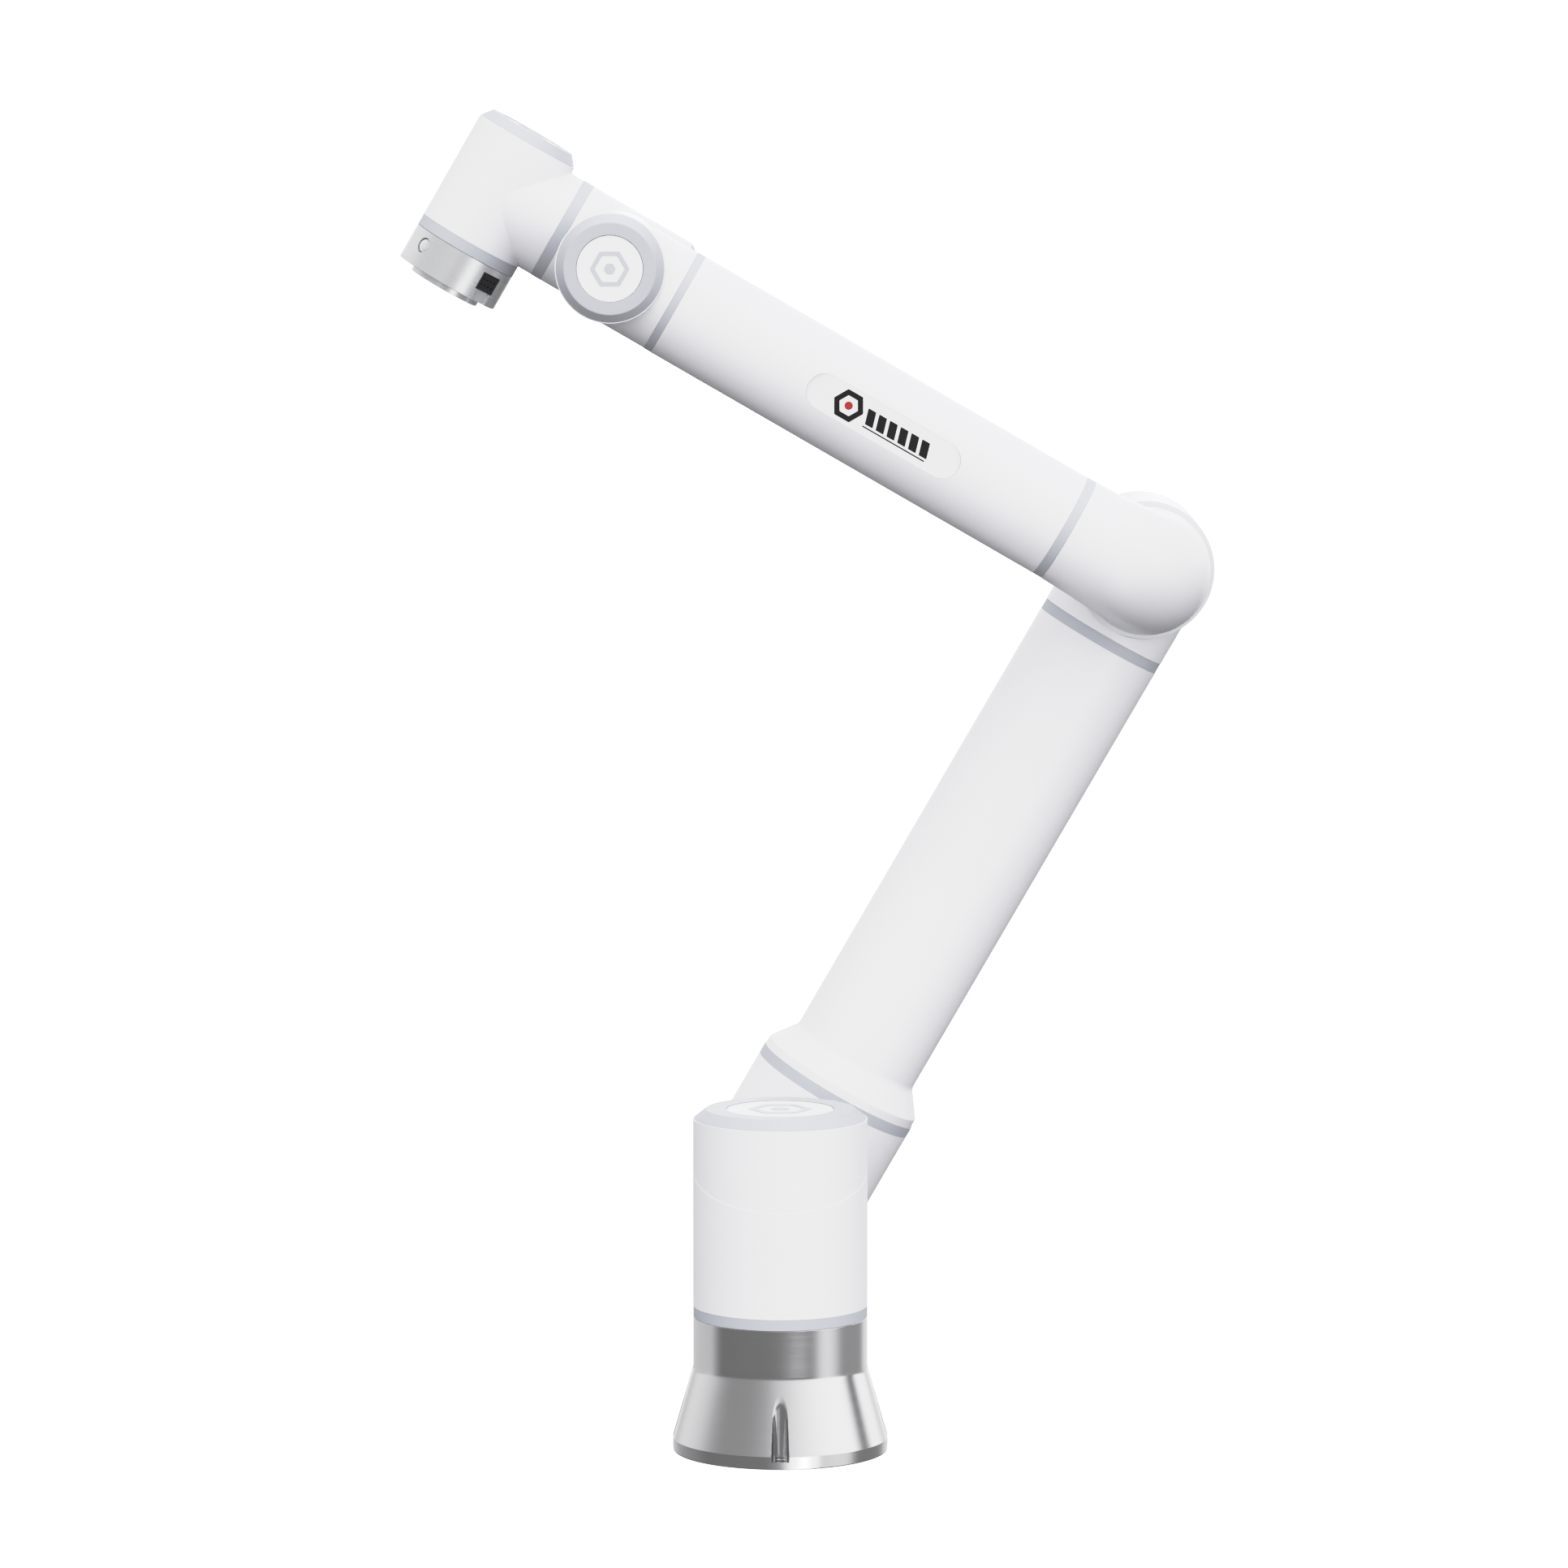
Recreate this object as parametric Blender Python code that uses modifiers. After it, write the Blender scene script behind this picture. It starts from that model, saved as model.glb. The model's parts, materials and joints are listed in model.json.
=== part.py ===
"""Six-axis collaborative robot arm on a flared metal foot.

Six joint modules of three sizes, each a T-shaped shell with an end cap, are joined by two tubes.
Metres, +Z up.  The origin is the centre of the foot's underside.
The arm is modelled bent: the upper arm leans to +X and the forearm reaches back to -X.
"""

import math

import bmesh
import bpy
from mathutils import Matrix, Vector

# ---- driving dimensions ------------------------------------------------------------------------
GAP = 0.0003                      # clearance between neighbouring pieces
SEGMENTS = 36                     # facets round an outside surface
CAP_SEGMENTS = 24                 # facets round a cap, a badge or a seal ring
FINE_SEGMENTS = 16                # facets round an inner component

FOOT_RADIUS = 0.0950
FOOT_BAND = 0.0115                # height of the straight band at the floor
FOOT_CONE_TOP = 0.0745
FOOT_TOP = 0.1192
FOOT_WALL = 0.0080
BOLT_CIRCLE = 0.0885              # radius of the four foot bolts
BOLT_POCKET = 0.0070              # radius of a bolt's pocket
BOLT_HOLE = 0.0045
BOLT_FLOOR = 0.0068

LARGE, MEDIUM, SMALL = "large", "medium", "small"
RADIUS = {LARGE: 0.0767, MEDIUM: 0.0612, SMALL: 0.0480}      # module shell
BRANCH = {LARGE: 0.0765, MEDIUM: 0.0592, SMALL: 0.0478}      # side branch of the shell
OUTPUT = {LARGE: 0.0769, MEDIUM: 0.0600, SMALL: 0.0483}      # joint centre to output face
SEAT = {LARGE: 0.0893, MEDIUM: 0.0700, SMALL: 0.0534}        # joint centre to cap seat
CAP_HEIGHT = {LARGE: 0.0082, MEDIUM: 0.0080, SMALL: 0.0090}
CAP_FACE = {LARGE: 0.0655, MEDIUM: 0.0520, SMALL: 0.0400}    # radius of a cap's flat face
BADGE = {LARGE: 0.0470, MEDIUM: 0.0370, SMALL: 0.0287}       # radius of the round badge
RING = {LARGE: 0.0092, MEDIUM: 0.0090, SMALL: 0.0095}        # height of an output seal ring
WALL = 0.0045

SHOULDER_BRANCH = 0.0955          # joint 1 axis to the face that carries joint 2
SHOULDER_HEIGHT = FOOT_TOP + 0.0097 + OUTPUT[LARGE]      # joint 2 axis above the floor
UPPER_ANGLE = math.radians(60.0)
FORE_ANGLE = math.radians(150.0)
UPPER_LENGTH = 0.6490             # joint 2 axis to joint 3 axis
FORE_LENGTH = 0.5450              # joint 3 axis to joint 4 axis
WRIST_STEP = 0.1196               # joint 4 axis to joint 6 axis

UPPER_RING = (0.0955, 0.1047)     # stations along the upper arm, from joint 2
UPPER_FLARE = (0.1050, 0.1128, 0.1357)
UPPER_TUBE_RADIUS = 0.0591
UPPER_TOP_RING = (0.5706, 0.5798)
ELBOW_REACH = 0.0660              # joint plane of the elbow to the forearm axis
BRACKET_RADIUS = 0.0574
FORE_RING = (0.0833, 0.0913)      # stations along the forearm, from joint 3
FORE_TUBE_RADIUS = 0.0483
FORE_TUBE_BORE = 0.0425
FORE_END_RING = (0.0603, 0.0669)  # stations before joint 4

FLANGE_TOP = 0.0584               # stations along joint 6
FLANGE_FACE = 0.0916
PLATE_FACE = 0.0972
FLANGE_RADIUS = 0.0480
PLATE_RADIUS = 0.0330

WHITE = (0.86, 0.865, 0.875)
RING_GREY = (0.62, 0.63, 0.67)
METAL = (0.68, 0.68, 0.69)

# ---- frames of the joints ----------------------------------------------------------------------
X, Y, Z = Vector((1, 0, 0)), Vector((0, 1, 0)), Vector((0, 0, 1))
ARM = Vector((math.cos(UPPER_ANGLE), 0, math.sin(UPPER_ANGLE)))
FORE = Vector((math.cos(FORE_ANGLE), 0, math.sin(FORE_ANGLE)))
TOOL = Vector((math.sin(-math.radians(30.0)), 0, -math.cos(math.radians(30.0))))

UPPER_PLANE = SHOULDER_BRANCH + GAP + RING[LARGE] + GAP + OUTPUT[LARGE]
ELBOW_PLANE = UPPER_PLANE - OUTPUT[MEDIUM] - GAP - RING[MEDIUM] - GAP
FORE_PLANE = ELBOW_PLANE - ELBOW_REACH
WRIST_FACE = FORE_PLANE + OUTPUT[SMALL] + GAP + RING[SMALL] + GAP
WRIST_BRANCH = 0.0626
WRIST_PLANE = WRIST_FACE + WRIST_BRANCH

JOINT_1 = Vector((0, 0, SHOULDER_HEIGHT))
JOINT_2 = Vector((0, UPPER_PLANE, SHOULDER_HEIGHT))
JOINT_3 = JOINT_2 + ARM * UPPER_LENGTH
ELBOW = Vector((JOINT_3.x, FORE_PLANE, JOINT_3.z))
JOINT_4 = ELBOW + FORE * FORE_LENGTH
JOINT_5 = Vector((JOINT_4.x, WRIST_PLANE, JOINT_4.z))
JOINT_6 = JOINT_5 + FORE * WRIST_STEP


def frame(origin, axis, side):
    """Placement with local +Z along axis and local +X along side."""
    z = axis.normalized()
    x = (side - z * side.dot(z)).normalized()
    y = z.cross(x)
    turn = Matrix((x, y, z)).transposed().to_4x4()
    return Matrix.Translation(origin) @ turn


# ---- scene, collections and materials ----------------------------------------------------------
for old in list(bpy.data.objects):
    bpy.data.objects.remove(old, do_unlink=True)

PARTS = bpy.data.collections.new("robot_arm")
CUTTERS = bpy.data.collections.new("cutters")
bpy.context.scene.collection.children.link(PARTS)
bpy.context.scene.collection.children.link(CUTTERS)


def material(name, color, roughness, metallic=0.0):
    mat = bpy.data.materials.new(name)
    mat.use_nodes = True
    shader = mat.node_tree.nodes["Principled BSDF"]
    shader.inputs["Base Color"].default_value = (*color, 1.0)
    shader.inputs["Roughness"].default_value = roughness
    shader.inputs["Metallic"].default_value = metallic
    mat.diffuse_color = (*color, 1.0)
    return mat


WHITE_SHELL = material("white_shell", WHITE, 0.38)
GREY_RING = material("grey_ring", RING_GREY, 0.50)
GREY_CAP = material("grey_cap", (0.66, 0.67, 0.70), 0.45)
BADGE_WHITE = material("badge_white", (0.90, 0.90, 0.915), 0.30)
BRUSHED = material("machined_metal", METAL, 0.28, 1.0)
BLACK = material("black_plastic", (0.015, 0.015, 0.016), 0.45)
STEEL = material("gear_steel", (0.50, 0.50, 0.52), 0.35, 1.0)
COPPER = material("motor_winding", (0.45, 0.20, 0.10), 0.45, 0.6)
BOARD = material("circuit_board", (0.02, 0.16, 0.07), 0.55)
POLISHED = material("button_metal", (0.80, 0.80, 0.82), 0.22, 1.0)


def axis_empty(name, origin):
    empty = bpy.data.objects.new(name, None)
    empty.empty_display_size = 0.05
    empty.location = origin
    PARTS.objects.link(empty)
    return empty


BASE = axis_empty("axis_base", Vector((0, 0, 0)))
SHOULDER = axis_empty("axis_shoulder", JOINT_1)
UPPER = axis_empty("axis_upper_arm", JOINT_2)
FOREARM = axis_empty("axis_forearm", JOINT_3)
WRIST_1 = axis_empty("axis_wrist_1", JOINT_4)
WRIST_2 = axis_empty("axis_wrist_2", JOINT_5)
WRIST_3 = axis_empty("axis_wrist_3", JOINT_6)
bpy.context.view_layer.update()


# ---- modelling helpers -------------------------------------------------------------------------
def finish(obj, place, mat, parent):
    """Place a piece, give it its material and hang it on its joint's empty."""
    obj.data.materials.append(mat)
    obj.parent = parent
    obj.matrix_parent_inverse = Matrix.Translation(parent.location).inverted()
    obj.matrix_basis = place
    return obj


def hide_cutter(obj, place):
    obj.matrix_basis = place
    obj.hide_render = True
    obj.display_type = "WIRE"
    return obj


def turned(name, profile, segments, closed, collection):
    """Turn (radius, height) points, listed top to bottom down the outer side, about local Z."""
    mesh = bpy.data.meshes.new(name)
    shape = bmesh.new()
    points = [shape.verts.new((radius, 0.0, height)) for radius, height in profile]
    for first, second in zip(points, points[1:]):
        shape.edges.new((first, second))
    if closed:
        shape.edges.new((points[-1], points[0]))
    shape.to_mesh(mesh)
    shape.free()
    obj = bpy.data.objects.new(name, mesh)
    collection.objects.link(obj)
    screw = obj.modifiers.new("turn", "SCREW")
    screw.axis = "Z"
    screw.angle = math.tau
    screw.steps = segments
    screw.render_steps = segments
    screw.use_merge_vertices = True
    screw.merge_threshold = 0.00002
    screw.use_smooth_shade = True
    return obj


def tube(name, outer, inner, low, high, place, mat, parent, segments=CAP_SEGMENTS):
    ring = [(outer, high), (outer, low), (inner, low), (inner, high)]
    return finish(turned(name, ring, segments, True, PARTS), place, mat, parent)


def plug(name, radius, low, high, place, segments=SEGMENTS):
    """Solid cylinder used as a cutter or joined onto another shape."""
    outline = [(0.0, high), (radius, high), (radius, low), (0.0, low)]
    return hide_cutter(turned(name, outline, segments, False, CUTTERS), place)


def block(name, size, centre, place):
    """Box cutter, centred on a local point."""
    mesh = bpy.data.meshes.new(name)
    shape = bmesh.new()
    bmesh.ops.create_cube(shape, size=1.0, matrix=Matrix.Diagonal((*size, 1.0)))
    bmesh.ops.translate(shape, verts=shape.verts, vec=Vector(centre))
    shape.to_mesh(mesh)
    shape.free()
    obj = bpy.data.objects.new(name, mesh)
    CUTTERS.objects.link(obj)
    return hide_cutter(obj, place)


def combine(obj, other, operation):
    boolean = obj.modifiers.new(operation.lower() + "_" + other.name, "BOOLEAN")
    boolean.operation = operation
    boolean.object = other
    boolean.solver = "EXACT"


def cut(obj, other):
    combine(obj, other, "DIFFERENCE")


def join(obj, other):
    combine(obj, other, "UNION")


SIDE = Matrix.Rotation(math.radians(90.0), 4, "Y")      # turns local Z onto local X


def module_shell(name, size, place, branch, parent):
    """T-shaped shell: a drum along the joint axis with a side branch along local +X."""
    radius, low, high = RADIUS[size], -OUTPUT[size], SEAT[size]
    edge = 0.0008
    outline = [(0.0, high), (radius - edge, high), (radius, high - edge), (radius, low), (0.0, low)]
    shell = finish(turned(name, outline, SEGMENTS, False, PARTS), place, WHITE_SHELL, parent)
    join(shell, plug(name + "_branch", BRANCH[size], 0.004, branch, place @ SIDE))
    cut(shell, plug(name + "_bore", radius - WALL, low + 0.0060, high + 0.01, place))
    cut(shell, plug(name + "_port", radius * 0.55, low - 0.01, low + 0.02, place, FINE_SEGMENTS))
    cut(shell, plug(name + "_side_port", radius * 0.55, radius * 0.5, branch + 0.01,
                    place @ SIDE, FINE_SEGMENTS))
    return shell


def end_cap(prefix, size, place, parent):
    """Chamfered end cap with a shallow round recess that holds the badge."""
    radius, height, face = RADIUS[size] - 0.0008, CAP_HEIGHT[size], CAP_FACE[size]
    badge, base = BADGE[size], SEAT[size] + GAP
    floor = base + height - 0.0016
    spigot = radius - WALL - 0.0010
    outline = [(0.0, floor), (badge + GAP, floor), (badge + GAP, base + height),
               (face, base + height), (radius, base), (spigot, base), (spigot, floor - 0.0030),
               (0.0, floor - 0.0030)]
    finish(turned(prefix + "_cap", outline, CAP_SEGMENTS, False, PARTS), place, GREY_CAP, parent)
    disc = [(0.0, floor + 0.0015), (badge, floor + 0.0015), (badge, floor + GAP),
            (0.0, floor + GAP)]
    finish(turned(prefix + "_badge", disc, CAP_SEGMENTS, False, PARTS), place, BADGE_WHITE, parent)


def drive_train(prefix, size, place, parent):
    """Hollow-shaft drive inside a module: strain-wave gear, motor with brake, and drive board."""
    bore = RADIUS[size] - WALL - 0.0010
    low = -OUTPUT[size] + 0.0063
    span = SEAT[size] - low
    shaft = RADIUS[size] * 0.20
    gear_top = low + span * 0.27
    barrel = bore * 0.80
    rim = low + 0.0075
    hub = RADIUS[size] * 0.46
    gear = [(barrel, gear_top), (barrel, rim), (bore, rim), (bore, low), (hub, low),
            (hub, low - 0.0045), (shaft, low - 0.0045), (shaft, gear_top)]
    finish(turned(prefix + "_gear", gear, FINE_SEGMENTS, True, PARTS), place, STEEL, parent)
    motor_low = gear_top + GAP
    motor_top = low + span * 0.62
    tube(prefix + "_motor", bore * 0.72, shaft, motor_low, motor_top, place, COPPER, parent,
         FINE_SEGMENTS)
    board_low = low + span * 0.80
    tube(prefix + "_drive_board", bore * 0.94, shaft, board_low, board_low + 0.0060, place, BOARD,
         parent, FINE_SEGMENTS)


def stadium(name, half, radius, low, high, collection):
    """Flat bar with round ends; half is half the distance between the ends' centres, along X."""
    mesh = bpy.data.meshes.new(name)
    shape = bmesh.new()
    rim = []
    for centre, start in ((half, -90.0), (-half, 90.0)):
        for step in range(9):
            angle = math.radians(start + 22.5 * step)
            point = (centre + radius * math.cos(angle), radius * math.sin(angle), low)
            rim.append(shape.verts.new(point))
    base = shape.faces.new(rim)
    raised = bmesh.ops.extrude_face_region(shape, geom=[base])["geom"]
    top = [item for item in raised if isinstance(item, bmesh.types.BMVert)]
    bmesh.ops.translate(shape, verts=top, vec=Vector((0, 0, high - low)))
    bmesh.ops.recalc_face_normals(shape, faces=shape.faces)
    shape.to_mesh(mesh)
    shape.free()
    obj = bpy.data.objects.new(name, mesh)
    collection.objects.link(obj)
    return obj


# ---- base --------------------------------------------------------------------------------------
UP = Matrix.Identity(4)
inner_cone = FOOT_RADIUS - 0.0240
foot_profile = [(RADIUS[LARGE], FOOT_TOP), (RADIUS[LARGE], FOOT_CONE_TOP + 0.0030),
                (RADIUS[LARGE] + 0.0009, FOOT_CONE_TOP - 0.0026), (FOOT_RADIUS, FOOT_BAND),
                (FOOT_RADIUS, 0.0010), (FOOT_RADIUS - 0.0010, 0.0), (inner_cone, 0.0),
                (inner_cone, 0.0045), (RADIUS[LARGE] - FOOT_WALL, 0.0160),
                (RADIUS[LARGE] - FOOT_WALL, FOOT_TOP - 0.0080), (0.0520, FOOT_TOP - 0.0080),
                (0.0520, FOOT_TOP)]
foot = finish(turned("base_foot", foot_profile, SEGMENTS, True, PARTS), UP, BRUSHED, BASE)
for index in range(4):
    spoke = Matrix.Rotation(math.radians(-90.0 + 90.0 * index), 4, "Z")
    at_bolt = spoke @ Matrix.Translation((BOLT_CIRCLE, 0, 0))
    tag = str(index + 1)
    slot = stadium("bolt_slot_" + tag, 0.0080, BOLT_POCKET, BOLT_FLOOR, 0.09, CUTTERS)
    cut(foot, hide_cutter(slot, at_bolt @ Matrix.Translation((0.0080, 0, 0))))
    cut(foot, plug("bolt_hole_" + tag, BOLT_HOLE, -0.01, 0.02, at_bolt, 16))

plate_profile = [(0.0, 0.0042), (inner_cone - GAP, 0.0042), (inner_cone - GAP, 0.0), (0.0, 0.0)]
finish(turned("base_plate", plate_profile, SEGMENTS, False, PARTS), UP, BRUSHED, BASE)

BACK = frame(Vector((0, 0, 0.0960)), Y, X)
cut(foot, plug("inlet_hole", 0.0115, 0.05, 0.10, BACK, 20))
inlet_profile = [(0.0100, 0.0900), (0.0100, 0.0800), (0.0112, 0.0800), (0.0112, 0.0660),
                 (0.0085, 0.0660), (0.0085, 0.0690), (0.0080, 0.0690), (0.0080, 0.0900)]
finish(turned("base_inlet", inlet_profile, 20, True, PARTS), BACK, BLACK, BASE)
tube("base_ring", RADIUS[LARGE], RADIUS[LARGE] - 0.0080, FOOT_TOP + GAP, FOOT_TOP + 0.0094, UP,
     GREY_RING, BASE)

# ---- shoulder: joint 1 module ------------------------------------------------------------------
AT_1 = frame(JOINT_1, Z, Y)
module_shell("shoulder_housing", LARGE, AT_1, SHOULDER_BRANCH, SHOULDER)
end_cap("shoulder", LARGE, AT_1, SHOULDER)
drive_train("joint_1", LARGE, AT_1, SHOULDER)
SHOULDER_SIDE = frame(JOINT_1, Y, Z)
tube("shoulder_ring", RADIUS[LARGE], RADIUS[LARGE] - 0.0080, SHOULDER_BRANCH + GAP,
     SHOULDER_BRANCH + GAP + RING[LARGE], SHOULDER_SIDE, GREY_RING, SHOULDER)

# ---- upper arm: joint 2 module, tube, joint 3 module -------------------------------------------
AT_2 = frame(JOINT_2, Y, ARM)
ALONG_UPPER = frame(JOINT_2, ARM, Y)
module_shell("upper_arm_housing", LARGE, AT_2, UPPER_RING[0] - GAP, UPPER)
end_cap("upper_arm", LARGE, AT_2, UPPER)
drive_train("joint_2", LARGE, AT_2, UPPER)
tube("upper_arm_lower_ring", BRANCH[LARGE], BRANCH[LARGE] - 0.0080, UPPER_RING[0],
     UPPER_RING[1], ALONG_UPPER, GREY_RING, UPPER)
flare = RADIUS[LARGE] - 0.0010
bore = UPPER_TUBE_RADIUS - 0.0045
tube_profile = [(UPPER_TUBE_RADIUS, UPPER_TOP_RING[0] - GAP), (UPPER_TUBE_RADIUS, UPPER_FLARE[2]),
                (flare, UPPER_FLARE[1]), (flare, UPPER_FLARE[0]), (flare - 0.0080, UPPER_FLARE[0]),
                (flare - 0.0080, UPPER_FLARE[1] - 0.0010), (bore, UPPER_FLARE[2] - 0.0020),
                (bore, UPPER_TOP_RING[0] - GAP)]
finish(turned("upper_arm_tube", tube_profile, SEGMENTS, True, PARTS), ALONG_UPPER, WHITE_SHELL,
       UPPER)
tube("upper_arm_top_ring", UPPER_TUBE_RADIUS - 0.0002, UPPER_TUBE_RADIUS - 0.0070,
     UPPER_TOP_RING[0], UPPER_TOP_RING[1], ALONG_UPPER, GREY_RING, UPPER)
AT_3 = frame(JOINT_3, Y, -ARM)
module_shell("elbow_housing", MEDIUM, AT_3, UPPER_LENGTH - UPPER_TOP_RING[1] - GAP, UPPER)
end_cap("elbow", MEDIUM, AT_3, UPPER)
drive_train("joint_3", MEDIUM, AT_3, UPPER)

# ---- forearm: bracket, tube, joint 4 module ----------------------------------------------------
ACROSS = frame(Vector((JOINT_3.x, 0, JOINT_3.z)), Y, X)
tube("elbow_ring", BRACKET_RADIUS - 0.0020, BRACKET_RADIUS - 0.0110, ELBOW_PLANE + GAP,
     ELBOW_PLANE + GAP + RING[MEDIUM], ACROSS, GREY_RING, FOREARM)

ALONG_FORE = frame(ELBOW, FORE, -Y)
dome_back = ELBOW_PLANE
dome_front = FORE_PLANE - 0.0500
dome_profile = [(0.0, dome_back), (BRACKET_RADIUS - 0.0006, dome_back),
                (BRACKET_RADIUS, dome_back - 0.0006)]
arc_centre = dome_back - 0.0040
reach = arc_centre - dome_front
for step in range(1, 6):
    angle = math.radians(90.0 * step / 6.0)
    dome_profile.append((BRACKET_RADIUS * math.cos(angle), arc_centre - reach * math.sin(angle)))
dome_profile.append((0.0, dome_front))
bracket = finish(turned("forearm_bracket", dome_profile, SEGMENTS, False, PARTS), ACROSS,
                 WHITE_SHELL, FOREARM)
neck = [(0.0, FORE_RING[0] - GAP), (FORE_TUBE_RADIUS + 0.0003, FORE_RING[0] - GAP),
        (FORE_TUBE_RADIUS + 0.0012, 0.060), (0.0500, 0.0200), (0.0, 0.0)]
join(bracket, hide_cutter(turned("bracket_neck", neck, SEGMENTS, False, CUTTERS), ALONG_FORE))
cut(bracket, plug("bracket_neck_bore", 0.0400, 0.010, 0.10, ALONG_FORE, FINE_SEGMENTS))
cut(bracket, plug("bracket_drum_bore", 0.0400, FORE_PLANE, dome_back + 0.01, ACROSS,
                  FINE_SEGMENTS))
tube("forearm_elbow_ring", FORE_TUBE_RADIUS, FORE_TUBE_RADIUS - 0.0065, FORE_RING[0],
     FORE_RING[1], ALONG_FORE, GREY_RING, FOREARM)
fore_low = FORE_RING[1] + GAP
fore_high = FORE_LENGTH - FORE_END_RING[1] - GAP
fore_tube = tube("forearm_tube", FORE_TUBE_RADIUS, FORE_TUBE_BORE, fore_low, fore_high,
                 ALONG_FORE, WHITE_SHELL, FOREARM, SEGMENTS)

PLAQUE_AT = 0.2710                # station of the plaque's middle
PLAQUE_HALF = 0.0590              # half the distance between the centres of its round ends
PLAQUE_RADIUS = 0.0163
PLAQUE_DEPTH = 0.0452             # forearm axis to the plaque's flat face
PLAQUE_FRAME = frame(ELBOW + FORE * PLAQUE_AT, -Y, FORE)


pocket = stadium("plaque_pocket", PLAQUE_HALF, PLAQUE_RADIUS + GAP, PLAQUE_DEPTH - 0.0015, 0.06, CUTTERS)
cut(fore_tube, hide_cutter(pocket, PLAQUE_FRAME))
plaque = stadium("forearm_plaque", PLAQUE_HALF, PLAQUE_RADIUS, PLAQUE_DEPTH - 0.0012, PLAQUE_DEPTH,
                 PARTS)
finish(plaque, PLAQUE_FRAME, WHITE_SHELL, FOREARM)

tube("forearm_wrist_ring", FORE_TUBE_RADIUS - 0.0002, FORE_TUBE_RADIUS - 0.0065,
     FORE_LENGTH - FORE_END_RING[1], FORE_LENGTH - FORE_END_RING[0], ALONG_FORE, GREY_RING,
     FOREARM)
AT_4 = frame(JOINT_4, -Y, -FORE)
module_shell("wrist_1_housing", SMALL, AT_4, FORE_END_RING[0] - GAP, FOREARM)
end_cap("wrist_1", SMALL, AT_4, FOREARM)
drive_train("joint_4", SMALL, AT_4, FOREARM)

# ---- wrist 1 body: joint 5 module --------------------------------------------------------------
ACROSS_4 = frame(Vector((JOINT_4.x, 0, JOINT_4.z)), Y, X)
tube("wrist_1_ring", RADIUS[SMALL], RADIUS[SMALL] - 0.0060, WRIST_FACE - GAP - RING[SMALL],
     WRIST_FACE - GAP, ACROSS_4, GREY_RING, WRIST_1)
AT_5 = frame(JOINT_5, -FORE, -Y)
module_shell("wrist_2_housing", SMALL, AT_5, WRIST_BRANCH, WRIST_1)
end_cap("wrist_2", SMALL, AT_5, WRIST_1)
drive_train("joint_5", SMALL, AT_5, WRIST_1)

# ---- wrist 2 body: joint 6 module --------------------------------------------------------------
ALONG_5 = frame(JOINT_5, FORE, Y)
ring_low = OUTPUT[SMALL] + GAP
tube("wrist_2_ring", RADIUS[SMALL], RADIUS[SMALL] - 0.0060, ring_low, ring_low + RING[SMALL],
     ALONG_5, GREY_RING, WRIST_2)
AT_6 = frame(JOINT_6, -TOOL, -FORE)
module_shell("wrist_3_housing", SMALL, AT_6, WRIST_STEP - ring_low - RING[SMALL] - GAP, WRIST_2)
end_cap("wrist_3", SMALL, AT_6, WRIST_2)
drive_train("joint_6", SMALL, AT_6, WRIST_2)

# ---- tool flange: joint 6 output ---------------------------------------------------------------
ALONG_6 = frame(JOINT_6, TOOL, -Y)
tube("tool_ring", RADIUS[SMALL], RADIUS[SMALL] - 0.0060, ring_low, ring_low + RING[SMALL],
     ALONG_6, GREY_RING, WRIST_3)

flange_outline = [(0.0, FLANGE_FACE), (FLANGE_RADIUS - 0.0006, FLANGE_FACE),
                  (FLANGE_RADIUS, FLANGE_FACE - 0.0006), (FLANGE_RADIUS, FLANGE_TOP + 0.0003),
                  (0.0, FLANGE_TOP + 0.0003)]
flange = finish(turned("tool_flange", flange_outline, SEGMENTS, False, PARTS), ALONG_6, BRUSHED,
                WRIST_3)
cut(flange, plug("flange_bore", 0.0360, FLANGE_TOP - 0.01, FLANGE_FACE - 0.0080, ALONG_6,
                 FINE_SEGMENTS))
cut(flange, plug("flange_centre", 0.0090, 0.05, 0.11, ALONG_6, FINE_SEGMENTS))

CONNECTOR_TURN = math.radians(44.5)
CONNECTOR_AT = 0.0727
BUTTON_TURN = math.radians(-44.5)
BUTTON_AT = 0.0712
BUTTON_RADIUS = 0.0064
BUTTON_WELL = 0.0068

outward = -Y * math.cos(CONNECTOR_TURN) - FORE * math.sin(CONNECTOR_TURN)
CONNECTOR_FRAME = frame(JOINT_6 + TOOL * CONNECTOR_AT, outward, TOOL)
cut(flange, block("connector_pocket", (0.0166, 0.0216, 0.0200), (0, 0, 0.0490), CONNECTOR_FRAME))
pad = bpy.data.meshes.new("tool_connector")
pad_shape = bmesh.new()
bmesh.ops.create_cube(pad_shape, size=1.0, matrix=Matrix.Diagonal((0.0160, 0.0210, 0.0072, 1.0)))
bmesh.ops.translate(pad_shape, verts=pad_shape.verts, vec=Vector((0, 0, 0.0430)))
pad_shape.to_mesh(pad)
pad_shape.free()
connector = bpy.data.objects.new("tool_connector", pad)
PARTS.objects.link(connector)
finish(connector, CONNECTOR_FRAME, BLACK, WRIST_3)

outward = -Y * math.cos(BUTTON_TURN) - FORE * math.sin(BUTTON_TURN)
BUTTON_FRAME = frame(JOINT_6 + TOOL * BUTTON_AT, outward, TOOL)
cut(flange, plug("button_well", BUTTON_WELL, 0.0415, 0.06, BUTTON_FRAME, 20))
button_profile = [(0.0, 0.0478), (0.0026, 0.0475), (0.0048, 0.0466), (BUTTON_RADIUS, 0.0452),
                  (BUTTON_RADIUS, 0.0434), (0.0, 0.0434)]
BUTTON = axis_empty("axis_button", BUTTON_FRAME.translation.copy())
BUTTON.parent = WRIST_3
BUTTON.matrix_parent_inverse = Matrix.Translation(WRIST_3.location).inverted()
bpy.context.view_layer.update()
finish(turned("teach_button", button_profile, 20, False, PARTS), BUTTON_FRAME, POLISHED, BUTTON)

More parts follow.
